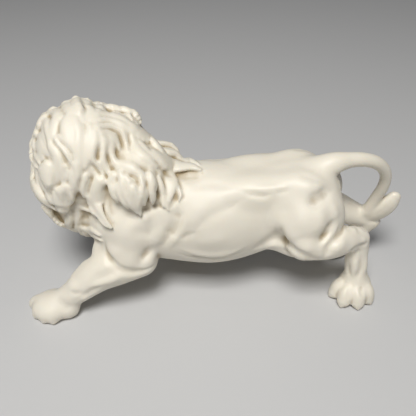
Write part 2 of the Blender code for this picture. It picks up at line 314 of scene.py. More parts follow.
@dataclass
class Lock:
    """A lock of hair: a flat, tapering tuft along a route, grooved lengthwise into strands.

    Each row of the route holds the centre, the way across, the way out, and the half width and half
    thickness there.
    """

    rows: Array
    strands: int = 3
    groove: float = 0.7
    twist: float = 0.0
    groove_width: float = 0.2
    waves: float = 4.0
    root_fade: float = 0.2
    tip_fade: float = 0.3
    tip_end: float = 1.05
    side_height: float = 0.4
    clearance: float = 2.5

    @property
    def centres(self) -> Array:
        """The middle of the lock at each row of its route."""
        return self.rows[:, :3]

    def bounds(self) -> tuple[Array, Array]:
        """Lowest and highest corners."""
        reach = self.rows[:, 9:].max(1, keepdims=True)
        return (self.centres - reach).min(0), (self.centres + reach).max(0)

    def nearest(self, points: Array) -> tuple[Array, Array, Array]:
        """The place along the route nearest to each point.

        Args:
            points: Places in the figure's frame.

        Returns:
            The row number before that place, the share of the way to the next row, and the gap.
        """
        middle = self.centres.mean(0).astype(np.float32)
        points = points - middle
        starts = self.centres[:-1].astype(np.float32) - middle
        runs = np.diff(self.centres, axis=0).astype(np.float32)
        lengths = (runs * runs).sum(-1)
        ahead = points @ runs.T - (starts * runs).sum(-1)
        share = np.clip(ahead / lengths, 0, 1)
        apart = (points * points).sum(-1)[:, None] - 2 * points @ starts.T + (starts * starts).sum(-1)
        gap = apart + share * (share * lengths - 2 * ahead)
        row = gap.argmin(1)
        every = np.arange(len(points))
        return row, share[every, row], np.sqrt(np.maximum(gap[every, row], 0))

    def distance(self, points: Array) -> Array:
        """The distance near the lock, and a far one where the clearance around it ends.

        Args:
            points: Places in the figure's frame.

        Returns:
            The distance of each place to the skin, below zero inside.
        """
        shape = points.shape[:-1]
        points = points.reshape(-1, 3)
        row, share, gap = self.nearest(points)
        result = np.full(len(points), Clay.FAR, np.float32)
        close = gap < self.rows[:, 9:].max() + self.clearance
        result[close] = self.near_distance(points[close], row[close], share[close, None])
        return result.reshape(shape)

    def near_distance(self, points: Array, row: Array, share: Array) -> Array:
        """An ellipse across the route, as for an ellipsoid, with a groove between each two strands.

        The groove raises the distance by its depth times a bell of the place across the lock, counted in
        strands. It fades at the root and toward the tip.

        Args:
            points: Places in the figure's frame.
            row: Number of the row before the nearest place of the route.
            share: Share of the way from that row to the next, in a column.

        Returns:
            The distance of each place to the skin, below zero inside.
        """
        rows = self.rows.astype(np.float32)
        here = rows[row] * (1 - share) + rows[row + 1] * share
        offset, side, out = points - here[:, :3], here[:, 3:6], here[:, 6:9]
        width, thickness = here[:, 9], here[:, 10]
        local = np.stack([(offset * way).sum(-1) for way in (side, out, np.cross(side, out))], -1)
        skin = ellipsoid_distance(local, np.stack([width, thickness, np.maximum(width, thickness)], -1))
        if self.strands < 2:
            return skin
        progress = (row + share[:, 0]) / (len(rows) - 1)
        place = (local[:, 0] / width + 1) / 2 * self.strands + self.twist * np.sin(progress * self.waves)
        nearest_gap = np.clip(np.round(place), 1, self.strands - 1)
        bell = np.exp(-(((place - nearest_gap) / self.groove_width) ** 2))
        fade = np.clip(progress / self.root_fade, 0, 1)
        fade = fade * np.clip((self.tip_end - progress) / self.tip_fade, 0, 1)
        top = np.clip(local[:, 1] / thickness + self.side_height, 0, 1)
        return skin + self.groove * bell * fade * top


@dataclass
class Clay:
    """A block of modelling clay: the distance to the figure's skin at every point of a grid.

    It is given by its lowest and highest corners and by the step of its grid.
    """

    low: Row | Array
    high: Row
    grain: float
    size: Array = field(init=False)
    values: Array = field(init=False)
    FAR: ClassVar[float] = 40.0
    FADE: ClassVar[float] = 0.3
    END_GAP: ClassVar[float] = 1.4
    ROUND_REACH: ClassVar[float] = 2.6
    SHARP_REACH: ClassVar[float] = 4.0
    SHARP_BELOW: ClassVar[float] = 1.7

    def __post_init__(self) -> None:
        """Lays out the empty grid."""
        self.low = np.asarray(self.low, float)
        self.size = np.ceil((np.asarray(self.high, float) - self.low) / self.grain).astype(int) + 1
        self.values = np.full(tuple(self.size), self.FAR, np.float32)

    def slices(self, low: Array, high: Array, margin: float) -> Slices:
        """The grid's slices inside a box.

        Args:
            low: Lowest corner of the box.
            high: Highest corner.
            margin: Room left around it.

        Returns:
            A slice for each way of the grid.
        """
        first = np.clip(np.floor((low - margin - self.low) / self.grain).astype(int), 0, self.size - 1)
        last = np.clip(np.ceil((high + margin - self.low) / self.grain).astype(int) + 1, 1, self.size)
        return tuple(map(slice, first, last))

    def points(self, where: Slices) -> Array:
        """The grid's points inside slices of it."""
        steps = [low + self.grain * np.arange(part.start, part.stop) for low, part in zip(self.low, where)]
        return np.stack(np.meshgrid(*(step.astype(np.float32) for step in steps), indexing="ij"), -1)

    def near(self, form: Shape | Limb, margin: float) -> tuple[Slices, Array]:
        """The distance to a form: for a limb the least distance to any of its cones.

        Args:
            form: A shape or a limb.
            margin: How far from a shape or a cone it is worked out; beyond that it is far.

        Returns:
            Slices of the grid around the form, and the distance at each of their points.
        """
        bits = form.cones() if isinstance(form, Limb) else [form]
        corners = np.array([bit.bounds() for bit in bits])
        whole = self.slices(corners[:, 0].min(0), corners[:, 1].max(0), margin)
        apart = np.full([part.stop - part.start for part in whole], self.FAR, np.float32)
        for bit, (low, high) in zip(bits, corners):
            where = self.slices(low, high, margin)
            local = tuple(slice(w.start - f.start, w.stop - f.start) for w, f in zip(where, whole))
            apart[local] = np.minimum(apart[local], bit.distance(self.points(where)))
        return whole, apart

    def add(self, form: Shape | Limb, blend: float) -> None:
        """Adds a form, with a fillet of about the blend where it meets what is there."""
        where, apart = self.near(form, max(blend, 3 * self.grain) + 1)
        self.values[where] = soft_union(self.values[where], apart, blend)

    def carve(self, form: Shape | Limb, blend: float) -> None:
        """Takes a form away, with a round of about the blend along the cut."""
        where, apart = self.near(form, max(blend, 3 * self.grain) + 1)
        self.values[where] = -soft_union(-self.values[where], apart, blend)

    def press(self, route: Array, depth: float, width: float, roundness: float = 2.0) -> None:
        """Presses a groove along a route: the distance grows by depth times a bell of the way to it.

        The bell is one over e to the power of that way in widths, raised to the roundness: at 2 the
        groove has a round bottom, nearer 1 a sharp one. It fades over the first and last thirds.

        Args:
            route: Points of the route, x, y, z in each row.
            depth: Depth of the groove; a ridge rises where it is below zero.
            width: Distance from the route at which the bell has fallen to a third.
            roundness: How round the bottom is.
        """
        share = np.linspace(0, 1, len(route))
        fade = 1 - np.clip(np.minimum(share, 1 - share) / self.FADE, 0, 1)
        line = Limb(np.column_stack([route, -self.END_GAP * width * fade]), per_span=1)
        reach = self.ROUND_REACH if roundness > self.SHARP_BELOW else self.SHARP_REACH
        where, apart = self.near(line, reach * width)
        self.values[where] += depth * np.exp(-((np.maximum(apart, 0) / width) ** roundness))

    def cut_flat(self, height: float) -> None:
        """Cuts the clay flat under a height."""
        level = self.low[2] + self.grain * np.arange(self.size[2])
        self.values = np.maximum(self.values, (height - level).astype(np.float32))

    def reading(self, values: Array, points: Array) -> Array:
        """Values of the grid at any points, drawn straight between the eight grid points around each.

        Args:
            values: A value for each grid point.
            points: Places in the figure's frame.

        Returns:
            The value at each point.
        """
        place = np.clip((points - self.low) / self.grain, 0, self.size - 1.001)
        cell = place.astype(int)
        part = place - cell
        total = 0.0
        for corner in np.ndindex(2, 2, 2):
            weight = np.where(corner, part, 1 - part).prod(-1)
            total = total + weight * values[tuple((cell + corner).T)]
        return total

    def distance(self, points: Array) -> Array:
        """The distance to the skin at any points."""
        return self.reading(self.values, points)

    def way_out(self, points: Array, step: float = 1.0) -> Array:
        """The way out of the skin: the slope of the distance, by differences each way."""
        slope = [self.distance(points + d) - self.distance(points - d) for d in np.eye(3) * step]
        return unit(np.stack(slope, -1))

    def skin(self) -> tuple[Array, Array]:
        """The skin as four-sided faces, by surface nets.

        Each grid cell that the skin passes through gets one corner, at the mean of the places where
        the skin crosses the cell's edges. Each grid edge that it crosses gets a face between the four
        cells around that edge.

        Returns:
            The corners, and four corner numbers for each face, counted outward.
        """
        inside = self.values < 0
        cells = tuple(n - 1 for n in inside.shape)

        def shifted(grid: Array, corner: Row) -> Array:
            """The grid's values at one corner of every cell."""
            return grid[tuple(slice(c, c + n) for c, n in zip(corner, cells))]

        count = sum(shifted(inside, corner).astype(np.int8) for corner in np.ndindex(2, 2, 2))
        crossed = (count > 0) & (count < 8)
        cell = np.argwhere(crossed)
        number = np.full(crossed.shape, -1, np.int32)
        number[crossed] = np.arange(len(cell))
        total, crossings = np.zeros((len(cell), 3)), np.zeros(len(cell))
        for start in np.ndindex(2, 2, 2):
            for axis in range(3):
                if start[axis]:
                    continue
                end = np.array(start)
                end[axis] = 1
                here = self.values[tuple((cell + start).T)].astype(float)
                there = self.values[tuple((cell + end).T)].astype(float)
                crosses = (here < 0) != (there < 0)
                share = here[crosses] / (here[crosses] - there[crosses])
                total[crosses] += np.array(start) + share[:, None] * (end - np.array(start))
                crossings[crosses] += 1
        corners = self.low + self.grain * (cell + total / crossings[:, None])
        faces = []
        for axis in range(3):
            first, second = (axis + 1) % 3, (axis + 2) % 3
            near = np.take(inside, range(inside.shape[axis] - 1), axis)
            far = np.take(inside, range(1, inside.shape[axis]), axis)
            edge = np.argwhere(near != far)
            room = (edge[:, [first, second]] > 0).all(1)
            room &= (edge[:, [first, second]] < np.array(inside.shape)[[first, second]] - 1).all(1)
            edge = edge[room]
            loop = []
            for step in ((-1, -1), (0, -1), (0, 0), (-1, 0)):
                around = edge.copy()
                around[:, first] += step[0]
                around[:, second] += step[1]
                loop.append(number[tuple(around.T)])
            face = np.stack(loop, 1)
            turned = ~near[tuple(edge.T)]
            face[turned] = face[turned][:, ::-1]
            faces.append(face)
        return corners, np.vstack(faces)

    def crowding(self, radius: float) -> Array:
        """How full the neighbourhood of each grid point is: a box mean of inside and outside.

        It is a half on a flat skin, more in a crease and less on a ridge.

        Args:
            radius: Half the width of the box.

        Returns:
            The fullness at each grid point.
        """
        fill = np.clip(0.5 - self.values / self.grain, 0, 1)
        reach = max(int(round(radius / self.grain)), 1)
        for axis in range(3):
            padding = [(0, 0)] * 3
            padding[axis] = (reach + 1, reach)
            sums = np.pad(fill, padding, mode="edge").cumsum(axis, dtype=np.float64)
            span = 2 * reach + 1
            high = np.take(sums, range(span, sums.shape[axis]), axis)
            low = np.take(sums, range(0, sums.shape[axis] - span), axis)
            fill = ((high - low) / span).astype(np.float32)
        return fill


@dataclass(frozen=True)
class View:
    """The photograph's camera: it looks along +Y and down at the figure."""

    eye: Row = (0.0, -199.0, 194.0)
    pitch: float = math.radians(36.7)
    focal: float = 520.0
    middle: float = 208.0
    nearest: float = 150.0
    farthest: float = 340.0
    step: float = 0.5

    def axes(self) -> Array:
        """Rows: to the right, up and forward as the camera is turned."""
        cosine, sine = math.cos(self.pitch), math.sin(self.pitch)
        return np.array([(1.0, 0, 0), (0, sine, cosine), (0, cosine, -sine)])

    def rays(self, pixels: Sequence[Pixel] | Array) -> Array:
        """Directions of the sight lines through pixels.

        Args:
            pixels: Pixels, across and down.

        Returns:
            A direction for each, at length one.
        """
        x, y = np.asarray(pixels, float).T
        right, upward, forward = self.axes()
        across = np.outer(x - self.middle, right)
        return unit(self.focal * forward + across + np.outer(self.middle - y, upward))

    def land(self, pixels: Sequence[Pixel] | Array, distance: Callable[[Array], Array]) -> Array:
        """Where the sight lines meet a skin, or pass nearest to it if they miss it.

        Args:
            pixels: Pixels, across and down.
            distance: Gives the distance to the skin at any points.

        Returns:
            A point for each pixel.
        """
        rays = self.rays(pixels)
        reach = np.arange(self.nearest, self.farthest, self.step)
        points = np.array(self.eye) + rays[:, None, :] * reach[None, :, None]
        depth = distance(points.reshape(-1, 3)).reshape(points.shape[:2])
        hits = (depth < 0).any(1)
        first = np.where(hits, (depth < 0).argmax(1), depth.argmin(1))
        rows = np.arange(len(rays))
        before = np.maximum(first - 1, 0)
        drop = depth[rows, before] - depth[rows, first]
        share = np.where(hits, np.clip(depth[rows, before] / np.maximum(drop, TINY), 0, 1), 1.0)
        return np.array(self.eye) + rays * (reach[before] + share * self.step)[:, None]

    def scale(self, points: Array) -> Array:
        """Millimetres per pixel at points."""
        return ((points - np.array(self.eye)) @ self.axes()[2]) / self.focal


@dataclass(frozen=True)
class Fold:
    """A groove or a ridge that runs along pixels of the photograph; a ridge has a depth below zero.

    A route gives its pixels across and down in turn, and so does that of a traced lock.
    """

    depth: float
    width: float
    route: Row
    both_sides: bool = False


@dataclass(frozen=True)
class TracedLock:
    """A lock of hair laid along pixels of the photograph, from its root to its tip."""

    width: float
    lift: float
    route: Row


def folds(*rows: Row, both_sides: bool = False) -> tuple[Fold, ...]:
    """Folds from rows of depth, width and the pixels of the route."""
    return tuple(Fold(depth, width, route, both_sides) for depth, width, *route in rows)


# Folds: depth, width, and the pixels of the route
TRUNK_FOLDS = folds(
    # back and ribs
    (0.5, 2.0, 186, 190, 192, 185, 200, 182, 212, 181, 228, 184, 240, 188),
    (0.9, 1.3, 240, 188.5, 247, 191, 255, 192.7, 263, 193, 270, 191),
    (0.4, 1.4, 272, 190, 280, 188.5, 290, 187),
    (-0.6, 1.8, 250, 186, 262, 186, 274, 185.5, 286, 184.5),
    (-1.0, 5.5, 200, 192, 215, 193, 228, 194),
    (-0.8, 5.0, 204, 202, 192, 212, 185, 222),
    (0.65, 2.4, 243, 195, 232, 202, 220, 208, 208, 214, 198, 223, 192, 230),
    (0.6, 1.5, 176, 238.5, 181, 235, 187, 232, 197, 230),
    (-0.9, 2.6, 178, 205, 180, 216, 178, 227, 173, 237, 166, 246),
    (-0.5, 4.0, 192, 240, 210, 238, 228, 234),
    # belly and flank
    (1.3, 1.3, 176, 250, 190, 255, 208, 257.5, 228, 255.5, 244, 248),
    (-0.8, 2.2, 178, 245, 192, 250, 210, 252.5, 228, 250, 244, 243),
    (1.3, 2.6, 281, 222, 277, 230, 268, 237, 257, 244, 248, 248),
    (-0.8, 2.0, 262, 246, 271, 242, 280, 242.5, 290, 248),
    (0.8, 3.5, 283, 204, 285, 212, 284, 220),
    # thigh
    (1.9, 2.2, 277.5, 225.5, 281.5, 234.5, 287.5, 243.5, 296.5, 250.5, 308.5, 255.5, 320.5, 256),
    (-1.6, 3.8, 286.5, 225.5, 290.5, 232.5, 297.5, 239.5, 308.5, 243.5, 318.5, 243.5),
    (-1.2, 6.0, 299.5, 213.5, 305.5, 223.5, 308.5, 233.5),
    (2.4, 2.8, 330, 188, 322, 193, 314, 197.5, 305, 201.5),
    (0.5, 1.8, 296.5, 171.5, 303.5, 173, 311.5, 175.5, 325.5, 180.5),
    (-0.8, 3.5, 299.5, 184.5, 311.5, 184.5, 321.5, 183.5),
    (1.8, 2.0, 333.5, 216.5, 328.5, 223.5, 322.5, 232.5, 316.5, 240.5),
    (-1.0, 2.8, 317.5, 207.5, 318.5, 217.5, 314.5, 227.5),
    (-0.7, 2.0, 329.5, 201.5, 333.5, 208.5, 334.5, 215.5),
    (-0.9, 1.7, 336.5, 220.5, 331.5, 228.5, 325.5, 236.5, 319.5, 244.5),
    (1.4, 1.6, 343.5, 223.5, 339.5, 230.5, 331.5, 238.5, 326.5, 245.5, 324.5, 251.5, 319.5, 255.5),
    (-0.9, 2.6, 333.5, 248.5, 338.5, 242.5, 343.5, 236.5),
    both_sides=True,
)
UPPER_ARM_FOLDS = folds(
    # shoulder and upper arm
    (3.0, 1.7, 103, 239, 104.5, 249, 109, 259, 116, 266, 129, 269.5, 143, 268, 155, 262),
    (-1.6, 4.0, 110, 243, 113, 250, 121, 256, 131, 257, 139, 254),
    (-0.9, 5.5, 118, 230, 126, 238, 137, 241),
    (0.9, 2.2, 146, 244, 144, 251, 139, 259),
    (-1.2, 2.6, 152, 247, 149, 254, 145, 259),
    (0.8, 2.6, 130, 226, 138, 230, 146, 230, 151, 225),
)
SHOULDER_EDGE = folds(
    # where the shoulder ends against the ribs
    (2.6, 2.4, 174, 203, 175.5, 210, 175.5, 218, 172, 227, 167, 233, 161, 242),
    both_sides=True,
)
LIMB_FOLDS = folds(
    # ridges of the upper arm
    (-1.0, 3.0, 159, 225, 156, 234, 151, 243),
    (-0.9, 2.2, 143, 212, 144, 218),
    # forearm and wrist
    (1.0, 2.4, 88, 281, 95, 277, 103, 273, 112, 269, 119, 266),
    (-1.0, 2.2, 88, 283, 99, 280, 110, 277, 122, 273),
    (-0.7, 2.4, 90, 253, 82, 263, 75, 272, 69, 281),
    (0.9, 1.3, 68, 289, 74, 291, 80, 289),
    (-1.0, 2.0, 79, 293, 83, 296),
    (-0.6, 2.6, 67, 280, 70, 283, 73, 286),
    (1.2, 1.6, 73, 298, 81, 294, 91, 288, 102, 282.5),
    (0.9, 2.4, 57, 294, 59, 300, 64, 304, 70, 304),
    # hock and the long bones of the foot
    (1.1, 1.2, 360, 249, 359, 258, 359, 266, 356, 273, 355, 278),
    (-0.9, 1.5, 353, 255, 352.5, 264, 351, 275),
    (-0.8, 1.3, 364.5, 251, 364, 261, 363, 271),
    (0.8, 1.2, 347, 258, 346.5, 267, 347, 274),
    (0.9, 1.2, 347, 284, 346.5, 291, 346, 298),
    (1.3, 1.2, 359, 282, 360, 289, 362, 296),
    (-0.8, 1.4, 345, 225, 352, 226.5, 359, 228, 366, 230.5),
    (1.3, 1.5, 342, 254, 349, 249, 356, 244.5, 363, 242, 367, 240),
    (-0.6, 1.6, 361, 235, 363, 239),
)
BODY_FOLDS = TRUNK_FOLDS + UPPER_ARM_FOLDS + SHOULDER_EDGE + LIMB_FOLDS


@dataclass
class Torso:
    """Trunk and the heavy muscles of the four quarters, which run softly into one another."""

    sections: tuple[Row, ...] = (
        (-62, 8, 38, 60), (-52, 14, 29, 68), (-38, 18.5, 24, 71), (-18, 20, 20.2, 69.1),
        (0, 19.8, 17.6, 68.7), (14, 18.7, 19.6, 68.3), (28, 17.2, 25.4, 69.6), (40, 16.6, 31.8, 71.7),
        (50, 14.6, 39, 70.8), (56, 10.5, 46, 67.5), (60, 6, 52, 62),
    )
    roundness: float = 2.3
    softness: float = 4.5

    def masses(self) -> Iterator[Shape]:
        """The masses: those of both sides first, and then those of one side.

        Returns:
            Each mass in turn.
        """
        yield Trunk(self.sections, self.roundness)
        for side in (-1, 1):
            # croup, shoulder, ribs and loin
            yield Ellipsoid((40, 10 * side, 65.3), (10, 6, 6))
            yield Ellipsoid((-37, 13.5 * side, 47), (15, 10, 19), (0.85, 0, 0.35), (-0.35, 0, 1))
            yield Ellipsoid((4, 12.5 * side, 45), (17, 8.5, 15), (1, 0, -0.25))
            yield Ellipsoid((22, 9 * side, 62), (16, 7, 7), (1, 0, 0.05))
        # thighs
        yield belly((47, -9, 64), (41, -17, 40.5), 15, 10.5, (0, -1, 0))
        yield belly((48, 11, 64), (54, 18, 38), 13.5, 10.5, (0, 1, 0))
        # near buttock, the skin between flank and knee, and far buttock
        yield belly((53.2, -8, 60), (56.2, -12.5, 40), 7.6, 7.5, (0, -1, 0))
        yield belly((28, -11.5, 36.5), (47, -15, 29.5), 4.2, 3.2, (0, -1, 0.3))
        yield belly((55, 8, 60), (59, 15, 40), 8, 7.5, (0, 1, 0))
        # near upper arm with its front, and far upper arm
        yield belly((-46, -15, 40), (-30, -16.5, 31), 9.6, 8.3, (0, -1, 0))
        yield Ellipsoid((-47.8, -14.0, 31.0), (6.8, 6.0, 6.6))
        yield belly((-40, 16, 40), (-24, 19, 30), 10, 8.5, (0, 1, 0))

    def shape(self, clay: Clay) -> None:
        """Adds the masses to the clay."""
        for mass in self.masses():
            clay.add(mass, self.softness)


@dataclass
class Leg:
    """One leg: rows of x, y, z and radius for each run of it."""

    runs: tuple[Route, ...]
    softness: float = 2.2

    def shape(self, clay: Clay) -> None:
        """Adds the runs to the clay, each in smooth round sections."""
        for run in self.runs:
            clay.add(Limb(run), self.softness)


LEGS = {
    "near_hind": Leg((
        ((44, -18, 39.4, 8.2), (54, -17.5, 39.0, 7.8), (62, -15, 38.3, 6.8), (70.9, -11, 36.5, 4.7)),
        ((71.0, -10, 35.5, 4.9), (71.7, -10, 31, 5.3), (72.0, -10.5, 24, 5.4), (72.9, -11, 17, 5.4),
         (73.6, -12, 9, 5.8)),
    )),
    "far_hind": Leg((
        ((58, 19, 36, 9.5), (68, 19, 31.6, 7.8), (78, 18.5, 27.8, 5.8), (85.6, 17.5, 25.2, 4.3)),
        ((86.5, 17.5, 24.8, 4.2), (81, 18, 18, 4.5), (75, 19, 11, 4.8), (70, 19.5, 7, 5.6)),
    )),
    "near_fore": Leg((
        ((-32, -16.5, 28.0, 8.4), (-42, -18, 26.4, 9.8), (-51, -20, 22.4, 8.6), (-58.5, -22, 17.0, 7.2),
         (-65.5, -23.5, 11.6, 6.0), (-72, -24.5, 7.6, 5.2)),
    )),
    "far_fore": Leg((
        ((-36, 17, 38, 10), (-24, 19.5, 31, 9.8), (-16, 20.5, 25, 8.2), (-7, 21, 15, 6.2), (-7, 21.5, 8, 6)),
    )),
}


@dataclass
class Paw:
    """A paw: its middle on the ground, the places of its toe tips, and its size.

    A claw is given in rows of its way back from the tip, its height and its radius.
    """

    middle: Pixel
    tips: tuple[Pixel, ...]
    length: float = 8.6
    half_width: float = 7.6
    height: float = 7.8
    toe: float = 3.3
    merge: float = 0.9
    heel: Row | None = None
    claw_back: float = 0.1
    mound_height: float = 5.6
    mound_blend: float = 3.0
    heel_shape: Row = (1.0, 0.8, 0.9)
    heel_blend: float = 4.0
    root_share: float = 0.1
    knuckle_share: float = 0.62
    knuckle_height: float = 0.85
    ball_share: float = 0.92
    ball_back: float = 2.6
    ball_height: float = 3.3
    claw: Route = ((2.2, 2.6, 1.6), (0.9, 1.8, 1.4))
    claw_end: Row = (1.1, 1.0)
    claw_blend: float = 0.9

    def shape(self, clay: Clay) -> None:
        """A low mound, a bent toe to each tip and a claw at its end.

        Each toe leaves the mound near its middle, stands highest at the knuckle and drops to the tip.

        Args:
            clay: The clay to shape.
        """
        middle = np.array([*self.middle, 0.0])
        mean = np.array([*np.mean(self.tips, axis=0), 0.0])
        clay.add(Ellipsoid(middle + (0, 0, self.mound_height), (self.length, self.half_width, self.height),
                           mean - middle), self.mound_blend)
        if self.heel is not None:
            *place, radius = self.heel
            clay.add(Ellipsoid(place, radius * np.array(self.heel_shape)), self.heel_blend)
        for tip in self.tips:
            end = np.array([*tip, 0.0])
            reach = unit(end - middle)
            root = middle + (end - middle) * self.root_share + (0, 0, self.height)
            knuckle = middle + (end - middle) * self.knuckle_share + (0, 0, self.height * self.knuckle_height)
            ball = end - reach * self.ball_back + (0, 0, self.ball_height)
            toe = [(*root, self.toe), (*knuckle, self.toe), (*ball, self.toe * self.ball_share)]
            clay.add(Limb(toe), self.merge)
            claw = [(*(end - reach * back + (0, 0, height)), radius)
                    for back, height, radius in (*self.claw, (self.claw_back, *self.claw_end))]
            clay.add(Limb(claw), self.claw_blend)


PAWS = (
    Paw((-75.2, -24), ((-87.5, -20.8), (-84.0, -28.7), (-79.0, -32.0), (-73.7, -32.7)),
        8.8, 8.4, 5.8, 3.4, 2.4, heel=(-67.8, -26.2, 4.6, 5.5), claw_back=0.7),
    Paw((-11, 21.5), ((-18.5, 15.5), (-20.5, 19.5), (-20.5, 24.0), (-18, 28.0)), 8.6, 7.6, 7.6, 3.3,
        heel=(-4.5, 22.5, 5, 4.8)),
    Paw((73.8, -11.5), ((61.8, -14.2), (65.8, -21.4), (74.0, -23.0), (81.0, -19.4)),
        8.0, 8.4, 8.4, 3.8, 1.2, claw_back=0.1),
    Paw((67, 19.5), ((58.5, 16.6), (57.6, 21), (59.2, 25), (63, 28)), 8.6, 7.4, 7.6, 3.3,
        heel=(73.5, 19, 4.6, 4.4)),
)


@dataclass
class Tail:
    """The tail, which loops back down to the far hock, and the tuft that turns up from its end."""

    rows: tuple[Row, ...] = (
        (48, 0, 65.5, 7.4), (56, 0, 70.4, 5.2), (63.2, 1.5, 71.4, 3.7), (70.0, 3, 70.8, 3.3),
        (76.6, 5, 68.3, 3.1), (82.0, 7.5, 63.5, 2.9), (85.3, 10, 56.8, 2.8), (85.8, 12, 49.3, 2.8),
        (84.5, 14, 41.8, 2.9), (82.7, 15.5, 33, 3.4),
    )
    tuft: tuple[Row, ...] = (
        (84.2, 15.5, 29.0, 3.6), (87.8, 14.5, 33.0, 5.2), (91.0, 13.9, 37.7, 5.2), (93.3, 13.5, 42.4, 3.4),
    )
    softness: float = 3.0
    tuft_softness: float = 1.2
    tuft_flatness: float = 0.72
    tuft_flat_toward: Row = (0, 1, 0.3)
    tuft_groove: tuple[float, float] = (0.3, 1.0)
    groove_spacing: float = 1.9
    groove_side: float = 3.2
    spread: Row = (0.7, 0, -0.7)
    tip_spread: float = 0.7

    def shape(self, clay: Clay) -> None:
        """Adds the tail and the flattened tuft, with grooves that run to its point.

        Args:
            clay: The clay to shape.
        """
        clay.add(Limb(self.rows), self.softness)
        clay.add(Limb(self.tuft, self.tuft_flatness, self.tuft_flat_toward), self.tuft_softness)
        spine = smooth_rows([row[:3] for row in self.tuft], 5)
        fan = np.linspace(1 - self.tip_spread, 0, len(spine))[:, None] + self.tip_spread
        for shift in (-self.groove_spacing, 0.0, self.groove_spacing):
            for side in (-self.groove_side, self.groove_side):
                route = spine + fan * shift * np.array(self.spread) + np.array([0, side, 0])
                clay.press(route, *self.tuft_groove)


